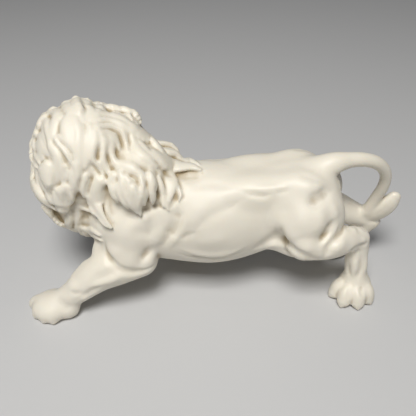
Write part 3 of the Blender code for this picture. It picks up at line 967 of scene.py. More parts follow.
@dataclass
class Head:
    """The head, turned over the right shoulder; places are forward, sideways and up from its centre.

    A ball is given as its middle, half sizes and blend, a cord as rows of a place and a radius, and a
    groove as its depth, its width and rows of places. What stands off the middle is made on both sides.
    """

    centre: Row = (-57.0, 12.0, 69.0)
    looks: Row = (-0.42, 0.9, -0.1)
    skull: Ball = ((1, 0, 2), (15, 13.5, 14), 3.0)
    forehead: Ball = ((8.5, 0, 9), (8, 9, 6.5), 3.0)
    cheek: Ball = ((9, 7.5, -2.5), (8, 6.5, 7.5), 2.5)
    jaw: Ball = ((12, 0, -8), (9.5, 7.0, 5.5), 2.5)
    nose_bridge: Route = ((12, 0, 7.2, 4.8), (18.5, 0, 4.8, 3.7), (25.2, 0, 1.8, 3.5))
    muzzle: tuple[Row, Row, float, Row] = ((22.2, 3.1, -2.6), (6.2, 4.4, 4.3), 1.2, (1, -0.12, -0.1))
    chin: Ball = ((20.6, 0, -8.4), (6.0, 4.2, 3.5), 1.6)
    brow: Route = ((15.6, 1.8, 7.6, 1.5), (15.8, 4.8, 9.2, 1.6), (12.4, 9.2, 8.6, 1.3))
    furrow: Groove = (0.8, 1.2, (14, 0, 13.2), (17.2, 0, 9.4), (18.6, 0, 6.2))
    eye_socket: Groove = (1.7, 2.2, (17.0, 3.6, 4.6), (16.0, 5.8, 5.0), (14.0, 8.2, 4.8))
    eye: Ball = ((14.0, 5.9, 4.7), (2.9, 2.9, 2.6), 0.4)
    upper_lid: Route = ((17.1, 3.0, 3.9, 0.6), (17.0, 5.0, 6.5, 0.8), (15.2, 7.8, 6.2, 0.8),
                        (12.9, 9.6, 4.3, 0.6))
    lower_lid: Route = ((17.1, 3.0, 3.7, 0.55), (16.8, 5.4, 2.7, 0.65), (15.0, 7.8, 2.9, 0.65),
                        (12.9, 9.5, 4.2, 0.5))
    nose: Ball = ((27.4, 0, 1.4), (2.3, 4.0, 2.2), 0.6)
    nostril: Groove = (0.9, 0.7, (29.6, 1.2, 1.0), (29.2, 2.6, 1.5), (27.8, 3.6, 1.9))
    lip_split: Groove = (1.0, 0.7, (29.6, 0, 0.2), (28.8, 0, -2.2), (27.6, 0, -5.0))
    mouth: Groove = (1.4, 0.9, (27.8, 0.1, -5.2), (26.4, 3.0, -6.4), (22.5, 5.7, -7.0), (18.5, 7.2, -8.0),
                    (16.5, 7.8, -9.2))
    ear: Ball = ((6.5, 13.4, 13.6), (2.6, 5.0, 5.2), 1.4)
    ear_hollow: Ball = ((9.4, 14.4, 14.2), (2.0, 2.9, 3.2), 1.2)
    ear_faces: Row = (0.75, 0.5, 0.3)
    bridge_blend: float = 2.2
    brow_blend: float = 2.6
    lid_blend: float = 0.6
    whisker_groove: tuple[float, float] = (0.3, 0.5)

    def axes(self) -> Array:
        """Rows: forward, sideways and up as the head is turned."""
        return frame(self.looks)

    def place(self, offsets: Sequence[Row] | Row) -> Array:
        """Points of the head's own frame in the figure's frame."""
        return np.array(self.centre) + np.asarray(offsets, float) @ self.axes()

    @staticmethod
    def mirrors(rows: Array) -> list[Row]:
        """What turns rows of offsets to each side of the face, or to one if all lie in its middle."""
        return [(1, side, 1) for side in ((1, -1) if np.any(rows[:, 1]) else (1,))]

    def ball(self, clay: Clay, offsets: Row, half_sizes: Row, blend: float,
             tilt: Row = (1, 0, 0)) -> None:
        """An ellipsoid of the head.

        Args:
            clay: The clay to shape.
            offsets: Its middle in the head's own frame.
            half_sizes: Its half sizes.
            blend: The fillet around it.
            tilt: Direction of its first half size.
        """
        for mirror in self.mirrors(np.array([offsets])):
            centre = self.place(np.array(offsets) * mirror)
            along = np.array(tilt) * mirror @ self.axes()
            clay.add(Ellipsoid(centre, half_sizes, along, self.axes()[2]), blend)

    def cord(self, clay: Clay, rows: Sequence[Row], blend: float) -> None:
        """A thin round form.

        Args:
            clay: The clay to shape.
            rows: Offsets in the head's own frame and a radius in each row.
            blend: The fillet along it.
        """
        rows = np.asarray(rows, float)
        for mirror in self.mirrors(rows):
            clay.add(Limb(np.column_stack([self.place(rows[:, :3] * mirror), rows[:, 3]])), blend)

    def groove(self, clay: Clay, depth: float, width: float, *rows: Row) -> None:
        """A groove.

        Args:
            clay: The clay to shape.
            depth: Its depth.
            width: Its width.
            rows: Offsets in the head's own frame.
        """
        places = np.asarray(rows, float)
        for mirror in self.mirrors(places):
            clay.press(self.place(smooth_rows(places * mirror, 5)), depth, width)

    def masses(self, clay: Clay) -> None:
        """Skull, cheeks, muzzle and jaw, which the mane grows around.

        Args:
            clay: The clay to shape.
        """
        for ball in (self.skull, self.forehead, self.cheek, self.jaw):
            self.ball(clay, *ball)
        self.cord(clay, self.nose_bridge, self.bridge_blend)
        self.ball(clay, *self.muzzle)
        self.ball(clay, *self.chin)

    def features(self, clay: Clay) -> None:
        """Brows, eyes with their lids, nose, lips, whisker grooves and ears.

        Args:
            clay: The clay to shape.
        """
        self.cord(clay, self.brow, self.brow_blend)
        self.groove(clay, *self.furrow)
        self.groove(clay, *self.eye_socket)
        self.ball(clay, *self.eye)
        self.cord(clay, self.upper_lid, self.lid_blend)
        self.cord(clay, self.lower_lid, self.lid_blend)
        self.ball(clay, *self.nose)
        for groove in (self.nostril, self.lip_split, self.mouth):
            self.groove(clay, *groove)
        for row in range(3):
            start = (26.5 - row * 0.8, 5.6 + row * 0.5, -0.6 - 1.5 * row)
            end = (20.5 - row * 0.5, 7.2, -0.2 - 1.5 * row)
            self.groove(clay, *self.whisker_groove, start, np.add(start, end) / 2, end)
        for side in (1, -1):
            outward = np.array(self.ear_faces) * (1, side, 1) @ self.axes()
            for (offsets, half_sizes, blend), work in ((self.ear, clay.add), (self.ear_hollow, clay.carve)):
                work(Ellipsoid(self.place(np.array(offsets) * (1, side, 1)), half_sizes, outward), blend)


@dataclass
class HairStyle:
    """Sizes that locks of one kind share; a taper is the share of its size that a lock loses to the tip."""

    width: float = 7.4
    thickness: float = 4.0
    lift: float = 1.3
    sink: float = 1.2
    groove: float = 0.6
    strands: int = 3
    width_taper: float = 0.72
    thickness_taper: float = 0.45
    root_width: float = 0.6
    rise_start: float = 0.18
    rise_span: float = 0.62
    most_roll: float = 0.28
    most_twist: float = 0.25


@dataclass
class Mane:
    """The mane: soft masses, an even layer of locks all over them, and the locks that are laid one by one.

    Each mass is given as its centre, its half sizes and the number of places for roots on it. Locks root
    in front of back_end and above the lowest height, and behind chest_end only above chest_top.
    """

    masses: tuple[tuple[Row, Row, int], ...] = (
        ((-55.2, 3, 72.3), (22.6, 20.8, 24.4), 150),
        ((-38, 1, 67), (17.8, 18.2, 16.6), 90),
        ((-39.2, 6, 82.2), (9.9, 11, 9.7), 60),
        ((-62.4, 1, 54.0), (11.2, 14.8, 16.0), 80),
        ((-66.0, 0, 61.2), (12.2, 14.5, 12.0), 60),
        ((-32, -5, 67), (13.5, 15.5, 14.6), 40),
        ((-20.5, 7, 68.9), (7.5, 7, 4.7), 12),
    )
    softness: float = 4.0
    crown: Row = (-55.0, 6.0, 99.0)
    head: Head = field(default_factory=Head)
    face_opening: float = 0.72
    face_edge: float = 0.05
    face_span: float = 0.5
    back_pull: float = 0.35
    face_droop: float = 0.35
    droop: float = 0.8
    neck_pull: Row = (1.0, 0, 0.1)
    length: float = 15.0
    length_share: float = 0.85
    length_change: float = 0.35
    bends: Route = ((0.5, 2.4), (0.25, 5.1))
    steps: int = 7
    buried: float = -1.2
    back_end: float = -20
    lowest: float = 34
    neck_start: float = -54
    neck_length: float = 20
    chest_end: float = -52
    chest_top: float = 47

    def shape_masses(self, clay: Clay) -> None:
        """Adds the soft masses that the locks lie on."""
        for centre, half_sizes, _ in self.masses:
            clay.add(Ellipsoid(centre, half_sizes), self.softness)

    def heading(self, points: Array, way_out: Array) -> Array:
        """The way hair lies along the skin: round the face away from it, elsewhere down from the crown.

        Args:
            points: Places on the skin.
            way_out: The way out of the skin there.

        Returns:
            Directions along the skin, at length one.
        """
        forward = self.head.axes()[0]
        from_head = unit(points - np.array(self.head.centre))
        facing = from_head @ forward
        round_face = np.clip((facing - self.face_edge) / self.face_span, 0, 1)[:, None]
        radial = unit(from_head - facing[:, None] * forward) - self.back_pull * forward
        neck = np.clip((points[:, :1] - self.neck_start) / self.neck_length, 0, 1)
        falling = unit(points - np.array(self.crown)) + (0, 0, -self.droop) + neck * np.array(self.neck_pull)
        chosen = round_face * (radial - np.array([0, 0, self.face_droop])) + (1 - round_face) * falling
        return unit(chosen - (chosen * way_out).sum(1, keepdims=True) * way_out)

    def roots(self, form: Clay) -> Array:
        """Even places over each mass, left out over the face, inside the other masses and off the mane.

        They lie on a spiral from pole to pole that turns by the golden share of a round each time.

        Args:
            form: The soft form under the hair.

        Returns:
            The places, one in each row.
        """
        forward = self.head.axes()[0]
        kept = []
        for centre, half_sizes, count in self.masses:
            number = np.arange(count)
            height = 1 - 2 * (number + 0.5) / count
            turn = 2 * math.pi * number * GOLDEN
            ring = np.sqrt(1 - height**2)
            sphere = np.column_stack([ring * np.cos(turn), ring * np.sin(turn), height])
            places = np.array(centre) + sphere * np.array(half_sizes)
            bare_belly = (places[:, 2] < self.chest_top) & (places[:, 0] > self.chest_end)
            on_mane = (places[:, 0] < self.back_end) & (places[:, 2] > self.lowest) & ~bare_belly
            off_face = unit(places - np.array(self.head.centre)) @ forward < self.face_opening
            kept.append(places[(form.distance(places) > self.buried) & off_face & on_mane])
        return np.vstack(kept)

    def grow(self, form: Clay, root: Array, number: int, style: HairStyle) -> Lock:
        """One lock from a root: it follows the heading in even steps, bends to one side and lifts.

        Args:
            form: The soft form under the hair.
            root: Where it starts.
            number: A number that varies it.
            style: Its sizes.

        Returns:
            The lock.
        """
        bend = sum(most * math.sin(number * turn) for most, turn in self.bends)
        reach = self.length * (self.length_share + self.length_change * (number * GOLDEN % 1))
        point, places = root[None, :], []
        for step in range(self.steps):
            share = step / (self.steps - 1)
            out = form.way_out(point)
            point = point - form.distance(point)[:, None] * out
            places.append(point[0])
            along = self.heading(point, out)
            swing = bend * math.sin(math.pi * (1.5 * share - 0.3))
            point = point + unit(along + swing * np.cross(out, along)) * reach / (self.steps - 1)
        return self.lay(form, np.array(places), style, number)

    def lay(self, form: Clay, places: Array, style: HairStyle, number: int) -> Lock:
        """One lock along places on the skin.

        It starts sunk in the skin and rises toward its tip. Its half width grows over the first third
        and then closes to a point as one less the cube of the share of its length.

        Args:
            form: The soft form under the hair.
            places: Points along the lock.
            style: Its sizes.
            number: A number that varies it.

        Returns:
            The lock.
        """
        share = np.linspace(0, 1, len(places))
        out = form.way_out(places, 2.0)
        rise = style.lift * np.sin(np.pi * (style.rise_start + style.rise_span * share))
        rise = rise - style.sink * (1 - share) ** 2
        centres = places + out * rise[:, None]
        along = unit(np.gradient(centres, axis=0))
        across = unit(np.cross(out, along))
        outward = np.cross(along, across)
        roll = style.most_roll * math.sin(number * 1.7)
        across, outward = (math.cos(roll) * across + math.sin(roll) * outward,
                           math.cos(roll) * outward - math.sin(roll) * across)
        swell = style.root_width + (1 - style.root_width) * np.sin(np.pi * np.minimum(share * 1.3, 0.5))
        widths = style.width / 2 * swell * (1 - style.width_taper * share**3.0)
        thicknesses = style.thickness / 2 * (1 - style.thickness_taper * share**2.2)
        rows = np.column_stack([centres, across, outward, widths, thicknesses])
        return Lock(rows, style.strands, style.groove, style.most_twist * math.sin(number * 3.3))


# Locks: width in pixels, lift, and the pixels of the route
TRACED_LOCKS = tuple(TracedLock(width, lift, route) for width, lift, *route in (
    # crown and upper left
    (10, 0.9, 43, 116, 39, 124, 36, 132, 34, 141, 34, 149),
    (9, 0.7, 52, 109, 46, 117, 44, 126, 47, 136, 48, 145),
    (10, 0.7, 70, 101, 62, 107, 55, 115, 51, 125, 51, 134),
    (11, 0.9, 71, 108, 67, 117, 65, 126, 67, 136, 70, 145),
    (6, 1, 55, 137, 59, 143, 63, 148, 67, 154, 70, 161),
    (9, 0.9, 49, 142, 52, 148, 55, 153, 58, 159, 60, 166),
    (6, 0.8, 58, 135, 63, 139, 67, 144, 71, 148),
    (12, 0.8, 76, 102, 76, 112, 76, 124, 77, 136, 78, 148, 78, 160, 76, 170),
    (15, 0.5, 78, 99, 84, 106, 90, 114, 95, 122),
    (10, 0.8, 88, 124, 89, 134, 88, 144, 86, 154, 84, 163),
    # lobes on the outline
    (9, 1.8, 78, 110, 77, 104, 76, 99),
    (9, 1, 68, 110, 66, 105, 65, 103),
    (10, 0.8, 58, 115, 54, 110, 53, 108),
    (7, 0.8, 87, 106, 89, 100),
    (9, 0.9, 97, 109, 101, 103),
    (8, 1, 104, 108, 112, 105, 119, 108),
    (7, 1, 116, 109, 122, 107, 127, 111, 131, 117),
    (8, 1.2, 126, 112, 132, 112, 137, 117, 140, 123),
    # arcs to the right
    (8, 0.8, 97, 112, 106, 112, 115, 114, 123, 118, 130, 124, 134, 130),
    (7, 0.9, 95, 123, 103, 122.5, 111, 123, 118, 126, 123, 132, 125, 139, 125.5, 146),
    (7, 0.9, 99, 117, 107, 116.5, 114, 118, 121, 122, 127, 127, 131, 133, 132, 141),
    (8, 0.8, 99, 129, 105, 130, 111, 134, 115, 140, 117, 146),
    (8, 1.3, 96, 127, 100, 133, 102, 140, 101, 149, 101, 157, 105, 165, 110, 174),
    (8, 1.1, 103, 132, 108, 138, 109, 146, 110, 154, 113, 162, 117, 170),
    (7, 1.1, 93, 129, 94, 137, 92, 146, 91, 155, 95, 162, 100, 169),
    # right of the neck
    (18, 1.5, 133, 126, 141, 132.5, 149, 139.5, 156, 147.5, 161, 155.5),
    (12, 1.2, 130, 135, 135, 143, 141, 150, 148, 156, 154, 163),
    (7, 1.5, 159, 149, 165, 151, 172, 151.5, 178, 155),
    (14, 2.0, 152, 153, 160, 160, 168, 163.5, 178, 166, 188, 165.5, 198, 168),
    (7, 0.9, 176, 156, 184, 160, 190, 160, 197, 163),
    (10, 1, 112, 160, 121, 163, 130, 166, 137, 171, 141, 178, 142, 186),
    # tufts on the shoulder
    (9, 2.3, 113, 172, 113, 180, 114, 190, 116, 199, 121, 206),
    (9, 2.4, 119, 172, 121, 182, 122, 192, 125, 201, 128, 209),
    (9, 2.5, 125, 176, 129, 185, 130, 195, 132, 204, 135, 213),
    (8, 2.5, 131, 180, 135, 188, 136, 198, 137, 207, 138, 216),
    (6, 2.2, 139, 178, 141, 187, 141.5, 195, 142, 203),
    (8, 2.2, 147, 172, 149, 181, 149.5, 191, 150, 203),
    (6, 1.6, 157, 176, 158, 185, 160, 193, 161, 203),
    (14, 1.5, 166, 169, 167, 177, 167, 186, 167, 197),
    (6, 1.2, 160, 193, 163, 199, 166, 206),
    (5, 1.3, 177, 185, 178, 191, 177, 197),
    # middle
    (9, 1.3, 75, 162, 74, 170, 73, 178, 73, 186, 74, 193),
    (9, 1.3, 84, 174, 83, 181, 82, 189, 82, 195),
    (4, 1, 92, 168, 96, 174, 99, 182, 102, 189),
    (14, 2.5, 98, 178, 96, 186, 95, 194, 96, 202, 99, 210, 104, 217, 110, 223),
    (8, 0.7, 102, 188, 103, 195, 104, 204, 107, 212, 111, 219),
    # left and lower left
    (14, 2.3, 47, 162, 45.5, 170, 45.5, 179, 48, 189),
    (9, 0.8, 54, 158, 55, 167, 55, 177, 54, 188),
    (9, 0.7, 62, 164.5, 62, 172.5, 62, 180.5),
    (4, 0.8, 33, 150.5, 36, 156.5, 40, 162.5),
    (4, 0.8, 31, 156.5, 34, 162.5, 37, 166.5),
    (8, 0.7, 36, 167.5, 37, 175.5, 39, 183.5, 43, 190.5, 48, 196.5),
    (9, 1.8, 34, 178, 38, 188, 45, 197, 54, 205),
    (9, 2.0, 48, 188, 51, 194, 55, 200, 59, 206),
    (13, 2.5, 65, 184, 62, 190, 62, 197, 63, 204, 66, 211),
    (7, 2, 69, 185.5, 71, 191.5, 70, 197.5),
    # chest
    (8, 1.6, 45, 207, 47, 213, 51, 218, 57, 222, 64, 225),
    (8, 1.2, 67, 211, 66, 217, 68, 223, 73, 228),
    (7, 1, 75, 205, 76, 212, 75, 219, 78, 226),
    (6, 0.9, 76, 203, 83, 207, 90, 211, 95, 219),
    (8, 1.1, 78, 222, 84, 226, 91, 229, 98, 232),
    (6, 1, 90, 231, 95, 235, 100, 238),
))

# Valleys between the locks, and ridges that fill the gaps behind some
MANE_FOLDS = folds(
    # fullness at the back of the neck
    (-0.6, 4.0, 145, 132, 154, 142, 164, 152, 174, 157),
    # crown and upper left
    (0.39, 0.9, 70, 111, 75, 112, 78, 116, 80, 119, 84, 123, 84, 129, 85, 135),
    (0.28, 1.1, 55, 118, 56, 125, 56, 133),
    (0.5, 0.7, 44, 117, 42, 124, 42, 130, 43, 135, 44, 140, 45, 145),
    (0.28, 0.6, 39, 134, 41, 140, 44, 145),
    (0.61, 0.7, 54, 135, 58, 139, 63, 143, 68, 147, 71, 150),
    (0.55, 0.8, 51, 141, 55, 145, 59, 150, 62, 156, 65, 162, 67, 166),
    (0.66, 0.6, 40, 152, 43, 154, 46, 158, 49, 162),
    (0.55, 0.6, 30, 150, 33, 155, 36, 159),
    (0.44, 0.5, 29, 156, 32, 161, 34, 164),
    (0.28, 0.7, 71, 122, 72, 131, 71, 140),
    # notches on the outline
    (0.9, 0.8, 84, 107, 83, 102, 81, 97),
    (0.9, 0.8, 95, 108, 94.5, 103, 94, 98),
    (0.9, 0.8, 108, 110, 107.5, 106, 107, 101),
    (0.6, 0.8, 120, 112, 120, 107, 120, 102),
    (0.5, 0.9, 130, 115, 131, 110.5, 132, 106),
    (0.4, 0.9, 138, 127, 141.5, 125, 145, 123),
    (0.9, 0.8, 61, 110, 59, 106, 57, 102),
    (0.9, 0.8, 51, 117, 47.5, 113.5, 44, 110),
    (0.9, 0.8, 39, 128, 35.5, 127.5, 31, 127),
    (0.9, 0.8, 35, 137, 31.5, 136.5, 27, 136),
    (0.9, 0.8, 35, 149.5, 31.5, 149, 27, 148.5),
    # hooked locks
    (1.6, 0.8, 98, 142, 97, 148, 96, 154, 95, 159),
    (1.1, 0.7, 106, 143, 105.5, 150, 107, 156, 109, 161, 113, 167, 115, 171),
    (1.5, 0.8, 89, 159, 93, 165.5, 97, 172, 100, 178),
    (0.7, 1.0, 101, 180, 103, 186, 102, 192),
    # arcs
    (0.64, 0.8, 86.5, 100.5, 89.5, 102.5, 94.5, 104.5, 99.5, 105.5, 102.5, 108.5),
    (0.48, 0.7, 94.5, 120.5, 101.5, 119.5, 109.5, 119.5, 116.5, 122.5, 121.5, 126.5),
    (0.88, 0.7, 99.5, 126.5, 105.5, 125.5, 111.5, 126.5, 116.5, 129.5, 118.5, 135.5, 120, 141.5, 120.5,
     146.5),
    (1, 0.7, 123.5, 128.5, 126.5, 133.5, 127.5, 139.5, 128, 146.5),
    (0.45, 0.8, 120.5, 107.5, 124.5, 112.5, 129.5, 116.5, 134.5, 120.5, 137.5, 123.5),
    (0.35, 0.8, 128.5, 110.5, 131.5, 116.5, 136.5, 121.5),
    (0.4, 0.6, 101.5, 113.5, 107.5, 113.5, 114.5, 114.5, 122.5, 117.5, 128.5, 121.5),
    (0.48, 0.7, 99.5, 131.5, 105.5, 132.5, 109.5, 136.5),
    (0.8, 1.6, 112.5, 146.5, 117.5, 151.5, 124.5, 155.5),
    # right of the neck
    (0.4, 0.8, 132, 131, 135, 137, 140, 143, 146, 149, 152, 155),
    (1.2, 0.7, 150, 156, 155, 159, 159, 163, 163, 168),
    (0.6, 0.8, 163, 147, 166, 151, 171, 153.5, 178, 154),
    (0.8, 1.4, 135, 163, 142, 165, 149, 168),
    (1.3, 0.8, 152, 166, 156, 171, 159, 177, 160, 184),
    (1.3, 0.8, 163, 171, 170, 173, 178, 172.5),
    (2.4, 1.8, 176, 173, 184, 173.5, 192, 173, 199, 172.5),
    (0.6, 1.0, 156, 180, 157, 188, 160, 196),
    (0.6, 0.8, 196, 162, 200, 167, 202, 173),
    # tufts on the shoulder
    (0.6, 0.6, 112, 184, 113, 192, 117, 200, 122, 206),
    (0.6, 0.6, 131, 190, 132.5, 198, 135, 206),
    (1.6, 1, 107, 184, 110, 180, 113, 177, 116, 176),
    (2.3, 1.2, 107, 193, 109, 199, 113, 204, 119, 208, 126, 211, 132, 214, 138, 217),
    (1.9, 3.8, 107, 202, 114, 209, 124, 214, 136, 219),
    (1.7, 0.9, 140, 199, 141, 205, 145, 206.5, 150, 205, 156, 203, 161, 206),
    (1.3, 0.7, 140, 205, 139, 212, 138, 218),
    (0.8, 0.6, 116, 176, 117, 186, 120, 196, 125, 203),
    (1.0, 0.7, 123, 176, 124.5, 187, 127.5, 197, 132, 205),
    (0.9, 0.6, 128, 186, 129, 181, 133, 179.5, 136, 182, 137, 190, 137, 199),
    (0.7, 0.6, 127, 171, 133, 173, 138, 178),
    (1.2, 0.7, 145, 180, 144.5, 188, 145, 196, 146, 203),
    (0.9, 0.7, 155, 180, 155, 187, 157, 194, 159, 199),
    (1.4, 0.8, 178, 183, 176, 190, 174, 196, 171, 203),
    (1.4, 0.7, 178.5, 173, 179, 180, 181, 188, 182, 195),
    # middle
    (1, 0.8, 79, 175, 77, 182, 76, 190),
    (1.5, 0.9, 88, 176, 86.5, 183, 86, 190, 87, 196),
    (1.3, 1.2, 105, 190, 106, 196, 108, 203, 112, 210),
    (0.6, 0.7, 70, 162, 71, 172, 71, 183),
    (0.8, 0.8, 38, 176, 41, 184, 45, 191, 50, 199),
    (0.8, 0.7, 51, 187, 54, 193, 57, 200, 60, 206),
    (0.8, 0.7, 64, 186, 63, 193, 63, 200, 65, 206),
    (0.5, 0.6, 62, 165, 64, 173),
    # left and lower left
    (-1.6, 1.5, 47.5, 179, 49.5, 183.5, 52, 188.5),
    (-1.2, 1.6, 97, 172, 101, 178, 103, 184),
    (0.7, 0.6, 37, 169.5, 38, 177.5, 40, 185.5),
    (1.7, 1.2, 71, 188.5, 76, 193.5, 81, 198.5, 87, 204.5),
    (1.8, 1.0, 42, 199.5, 46, 203.5, 52, 206, 58, 207, 64, 208.5, 68, 206, 72, 200),
    (1.5, 2.4, 45, 207.5, 53, 213, 61, 215, 70, 212, 76, 205),
    (1.2, 0.7, 64, 211.5, 63, 217.5, 66, 223.5),
    (1.1, 0.7, 73, 210.5, 72, 217.5, 71, 225.5),
    (1.4, 1.1, 80, 216.5, 85, 213.5, 89, 215.5),
    (1.3, 0.7, 88, 199.5, 90, 206.5, 92, 212.5, 97, 219.5),
    (1.7, 1.0, 86, 200, 88, 206, 92, 212, 98, 218, 106, 224),
    (1.1, 2.2, 84, 206, 88, 214, 94, 220, 103, 226),
    (0.6, 0.6, 66, 189.5, 66, 197.5, 68, 204.5),
)


@dataclass
class LionSculpt:
    """The whole figure in clay, from soft masses to hair."""

    grain: float = 0.5
    form_grain: float = 1.5
    low: Row = (-98, -42, -4)
    high: Row = (104, 46, 104)
    view: View = field(default_factory=View)
    torso: Torso = field(default_factory=Torso)
    head: Head = field(default_factory=Head)
    tail: Tail = field(default_factory=Tail)
    mane: Mane = field(default_factory=Mane)
    flank_shift: Pixel = (2.0, 3.0)
    edge_on: float = 0.15
    edge_span: float = 0.35
    traced_width: float = 1.55
    traced_thickness: float = 4.4
    traced_gap: float = 1.2
    traced_lift: float = 1.5
    traced_drop: float = 1.9
    traced_sink: float = 0.8
    under_clearance: float = 4.0
    under_blend: float = 0.7
    traced_blend: float = 1.0
    valley_depth: float = 1.7
    valley_roundness: float = 1.25

    def landed(self, route: Row, per_span: int, form: Clay) -> Array:
        """A traced route on the skin.

        What shows of a groove or a crest is its flank away from the light, up and to the left of its
        middle. The route is moved by the flank's shift, but less where the skin is seen edge on.

        Args:
            route: Pixels of the photograph, across and down in turn.
            per_span: Points made for each span of the route.
            form: The clay that the route lies on.

        Returns:
            Points on the skin.
        """
        pixels = smooth_rows(np.reshape(route, (-1, 2)), per_span)
        points = self.view.land(pixels, form.distance)
        facing = -(form.way_out(points) * self.view.rays(pixels)).sum(1, keepdims=True)
        share = np.clip((facing - self.edge_on) / self.edge_span, 0, 1)
        return self.view.land(pixels + share * np.array(self.flank_shift), form.distance)

    def soft_form(self) -> Clay:
        """The masses alone, on a coarse grid, which the hair is laid on.

        Returns:
            The soft form.
        """
        form = Clay(self.low, self.high, self.form_grain)
        for part in (self.torso, *LEGS.values()):
            part.shape(form)
        self.head.masses(form)
        self.mane.shape_masses(form)
        return form

    def fold_routes(self, fold: Fold, clay: Clay, far_side: bool) -> list[Array]:
        """A fold's route on the skin, and the same route on the other side of the body if it has one.

        Args:
            fold: The groove or ridge.
            clay: The clay that it lies on.
            far_side: Whether a fold of both sides is mirrored.

        Returns:
            One route or two.
        """
        routes = [self.landed(fold.route, 4, clay)]
        if far_side and fold.both_sides:
            mirrored = routes[0] * (1, -1, 1)
            for _ in range(4):
                mirrored = mirrored - clay.distance(mirrored)[:, None] * clay.way_out(mirrored) * 0.9
            routes.append(mirrored)
        return routes

    def press_folds(self, clay: Clay, folds: Sequence[Fold], deeper: float, roundness: float,
                    far_side: bool = False) -> None:
        """Raises the ridges and then presses the grooves, each landed on the skin as it is by then.

        Args:
            clay: The clay to press.
            folds: Grooves and ridges.
            deeper: What their depths are multiplied by.
            roundness: The shape of the groove across: two is a soft trough, one is a notch.
            far_side: Whether folds of both sides are pressed on the far side as well.
        """
        for raised in (True, False):
            routes = [(fold, route) for fold in folds if (fold.depth < 0) == raised
                      for route in self.fold_routes(fold, clay, far_side)]
            for fold, route in routes:
                clay.press(route, deeper * fold.depth, fold.width, roundness)

    def laid_locks(self, form: Clay) -> list[Lock]:
        """The locks that lie along pixels of the photograph.

        Args:
            form: The soft form under the hair.

        Returns:
            The locks, from root to tip.
        """
        locks = []
        for number, traced in enumerate(TRACED_LOCKS):
            places = self.landed(traced.route, 3, form)
            clear = np.maximum(form.distance(places) - self.traced_gap, 0)
            places = places - clear[:, None] * form.way_out(places)
            width = self.traced_width * traced.width * float(self.view.scale(places).mean())
            lift = self.traced_lift * traced.lift - self.traced_drop
            style = HairStyle(width, self.traced_thickness, lift, self.traced_sink, strands=1)
            locks.append(self.mane.lay(form, places, style, number))
        return locks

    def add_hair(self, clay: Clay) -> None:
        """Adds the even layer of locks where no traced lock lies over it, and then the traced ones.

        Args:
            clay: The clay to shape.
        """
        form = self.soft_form()
        laid = self.laid_locks(form)
        traced_places = np.vstack([lock.centres for lock in laid])
        style = HairStyle()
        for number, root in enumerate(self.mane.roots(form)):
            lock = self.mane.grow(form, root, number, style)
            apart = np.linalg.norm(lock.centres[:, None] - traced_places, axis=-1).min(1)
            if (apart < self.under_clearance).mean() < 0.5:
                clay.add(lock, self.under_blend)
        for lock in laid:
            clay.add(lock, self.traced_blend)

    def model(self) -> Clay:
        """Shapes the figure.

        Returns:
            The finished clay.
        """
        clay = Clay(self.low, self.high, self.grain)
        for part in (self.torso, *LEGS.values(), *PAWS, self.tail):
            part.shape(clay)
        self.press_folds(clay, BODY_FOLDS, 1.0, 2.0, far_side=True)
        self.head.masses(clay)
        self.mane.shape_masses(clay)
        self.add_hair(clay)
        self.press_folds(clay, MANE_FOLDS, self.valley_depth, self.valley_roundness)
        self.head.features(clay)
        clay.cut_flat(0.0)
        return clay


class Fullness(Enum):
    """How full the skin's neighbourhood is, read at two reaches; each is an attribute of the mesh that the
    material paints as shade.
    """

    # Attributes that the material darkens into painted shade; the finer one also sets the gloss on ridges
    CREASE = "crease"
    HOLLOW = "hollow"

    def reach(self) -> float:
        """Half the width of the neighbourhood, in millimetres."""
        return {Fullness.CREASE: 1.3, Fullness.HOLLOW: 4.0}[self]

    def span(self) -> tuple[float, float, float]:
        """The fullness at which the painted shade starts, that at which it is whole, and how much it then is.
        """
        return {Fullness.CREASE: (0.53, 0.72, 0.85), Fullness.HOLLOW: (0.54, 0.80, 0.75)}[self]


def feed(tree: bpy.types.NodeTree, node: bpy.types.Node, inputs: dict[str, Any]) -> None:
    """Fills inputs of a node.

    Args:
        tree: The tree that the node stands in.
        node: The node.
        inputs: Names of inputs, each with a value or with the output that feeds it.
    """
    for name, source in inputs.items():
        if isinstance(source, bpy.types.NodeSocket):
            tree.links.new(source, node.inputs[name])
        else:
            node.inputs[name].default_value = source


def add_node(tree: bpy.types.NodeTree, kind: str, inputs: dict[str, Any] | None = None,
             **settings: Any) -> bpy.types.Node:
    """A new shader node.

    Args:
        tree: The tree that it stands in.
        kind: Its type, without the prefix of shader nodes.
        inputs: Names of inputs, each with a value or with the output that feeds it.
        settings: Its other settings by name.

    Returns:
        The node.
    """
    node = tree.nodes.new(f"ShaderNode{kind}")
    for name, setting in settings.items():
        setattr(node, name, setting)
    feed(tree, node, inputs or {})
    return node


def new_group(name: str, inputs: dict[str, float], outputs: Sequence[str]) -> tuple:
    """An empty node group with named sockets, all of them numbers.

    Args:
        name: Its name.
        inputs: Name and value of each input.
        outputs: Name of each output.

    Returns:
        The group, its input node and its output node.
    """
    tree = bpy.data.node_groups.new(name, "ShaderNodeTree")
    for label, value in inputs.items():
        socket = tree.interface.new_socket(label, in_out="INPUT", socket_type="NodeSocketFloat")
        socket.default_value = value
    for label in outputs:
        tree.interface.new_socket(label, in_out="OUTPUT", socket_type="NodeSocketFloat")
    return tree, tree.nodes.new("NodeGroupInput"), tree.nodes.new("NodeGroupOutput")


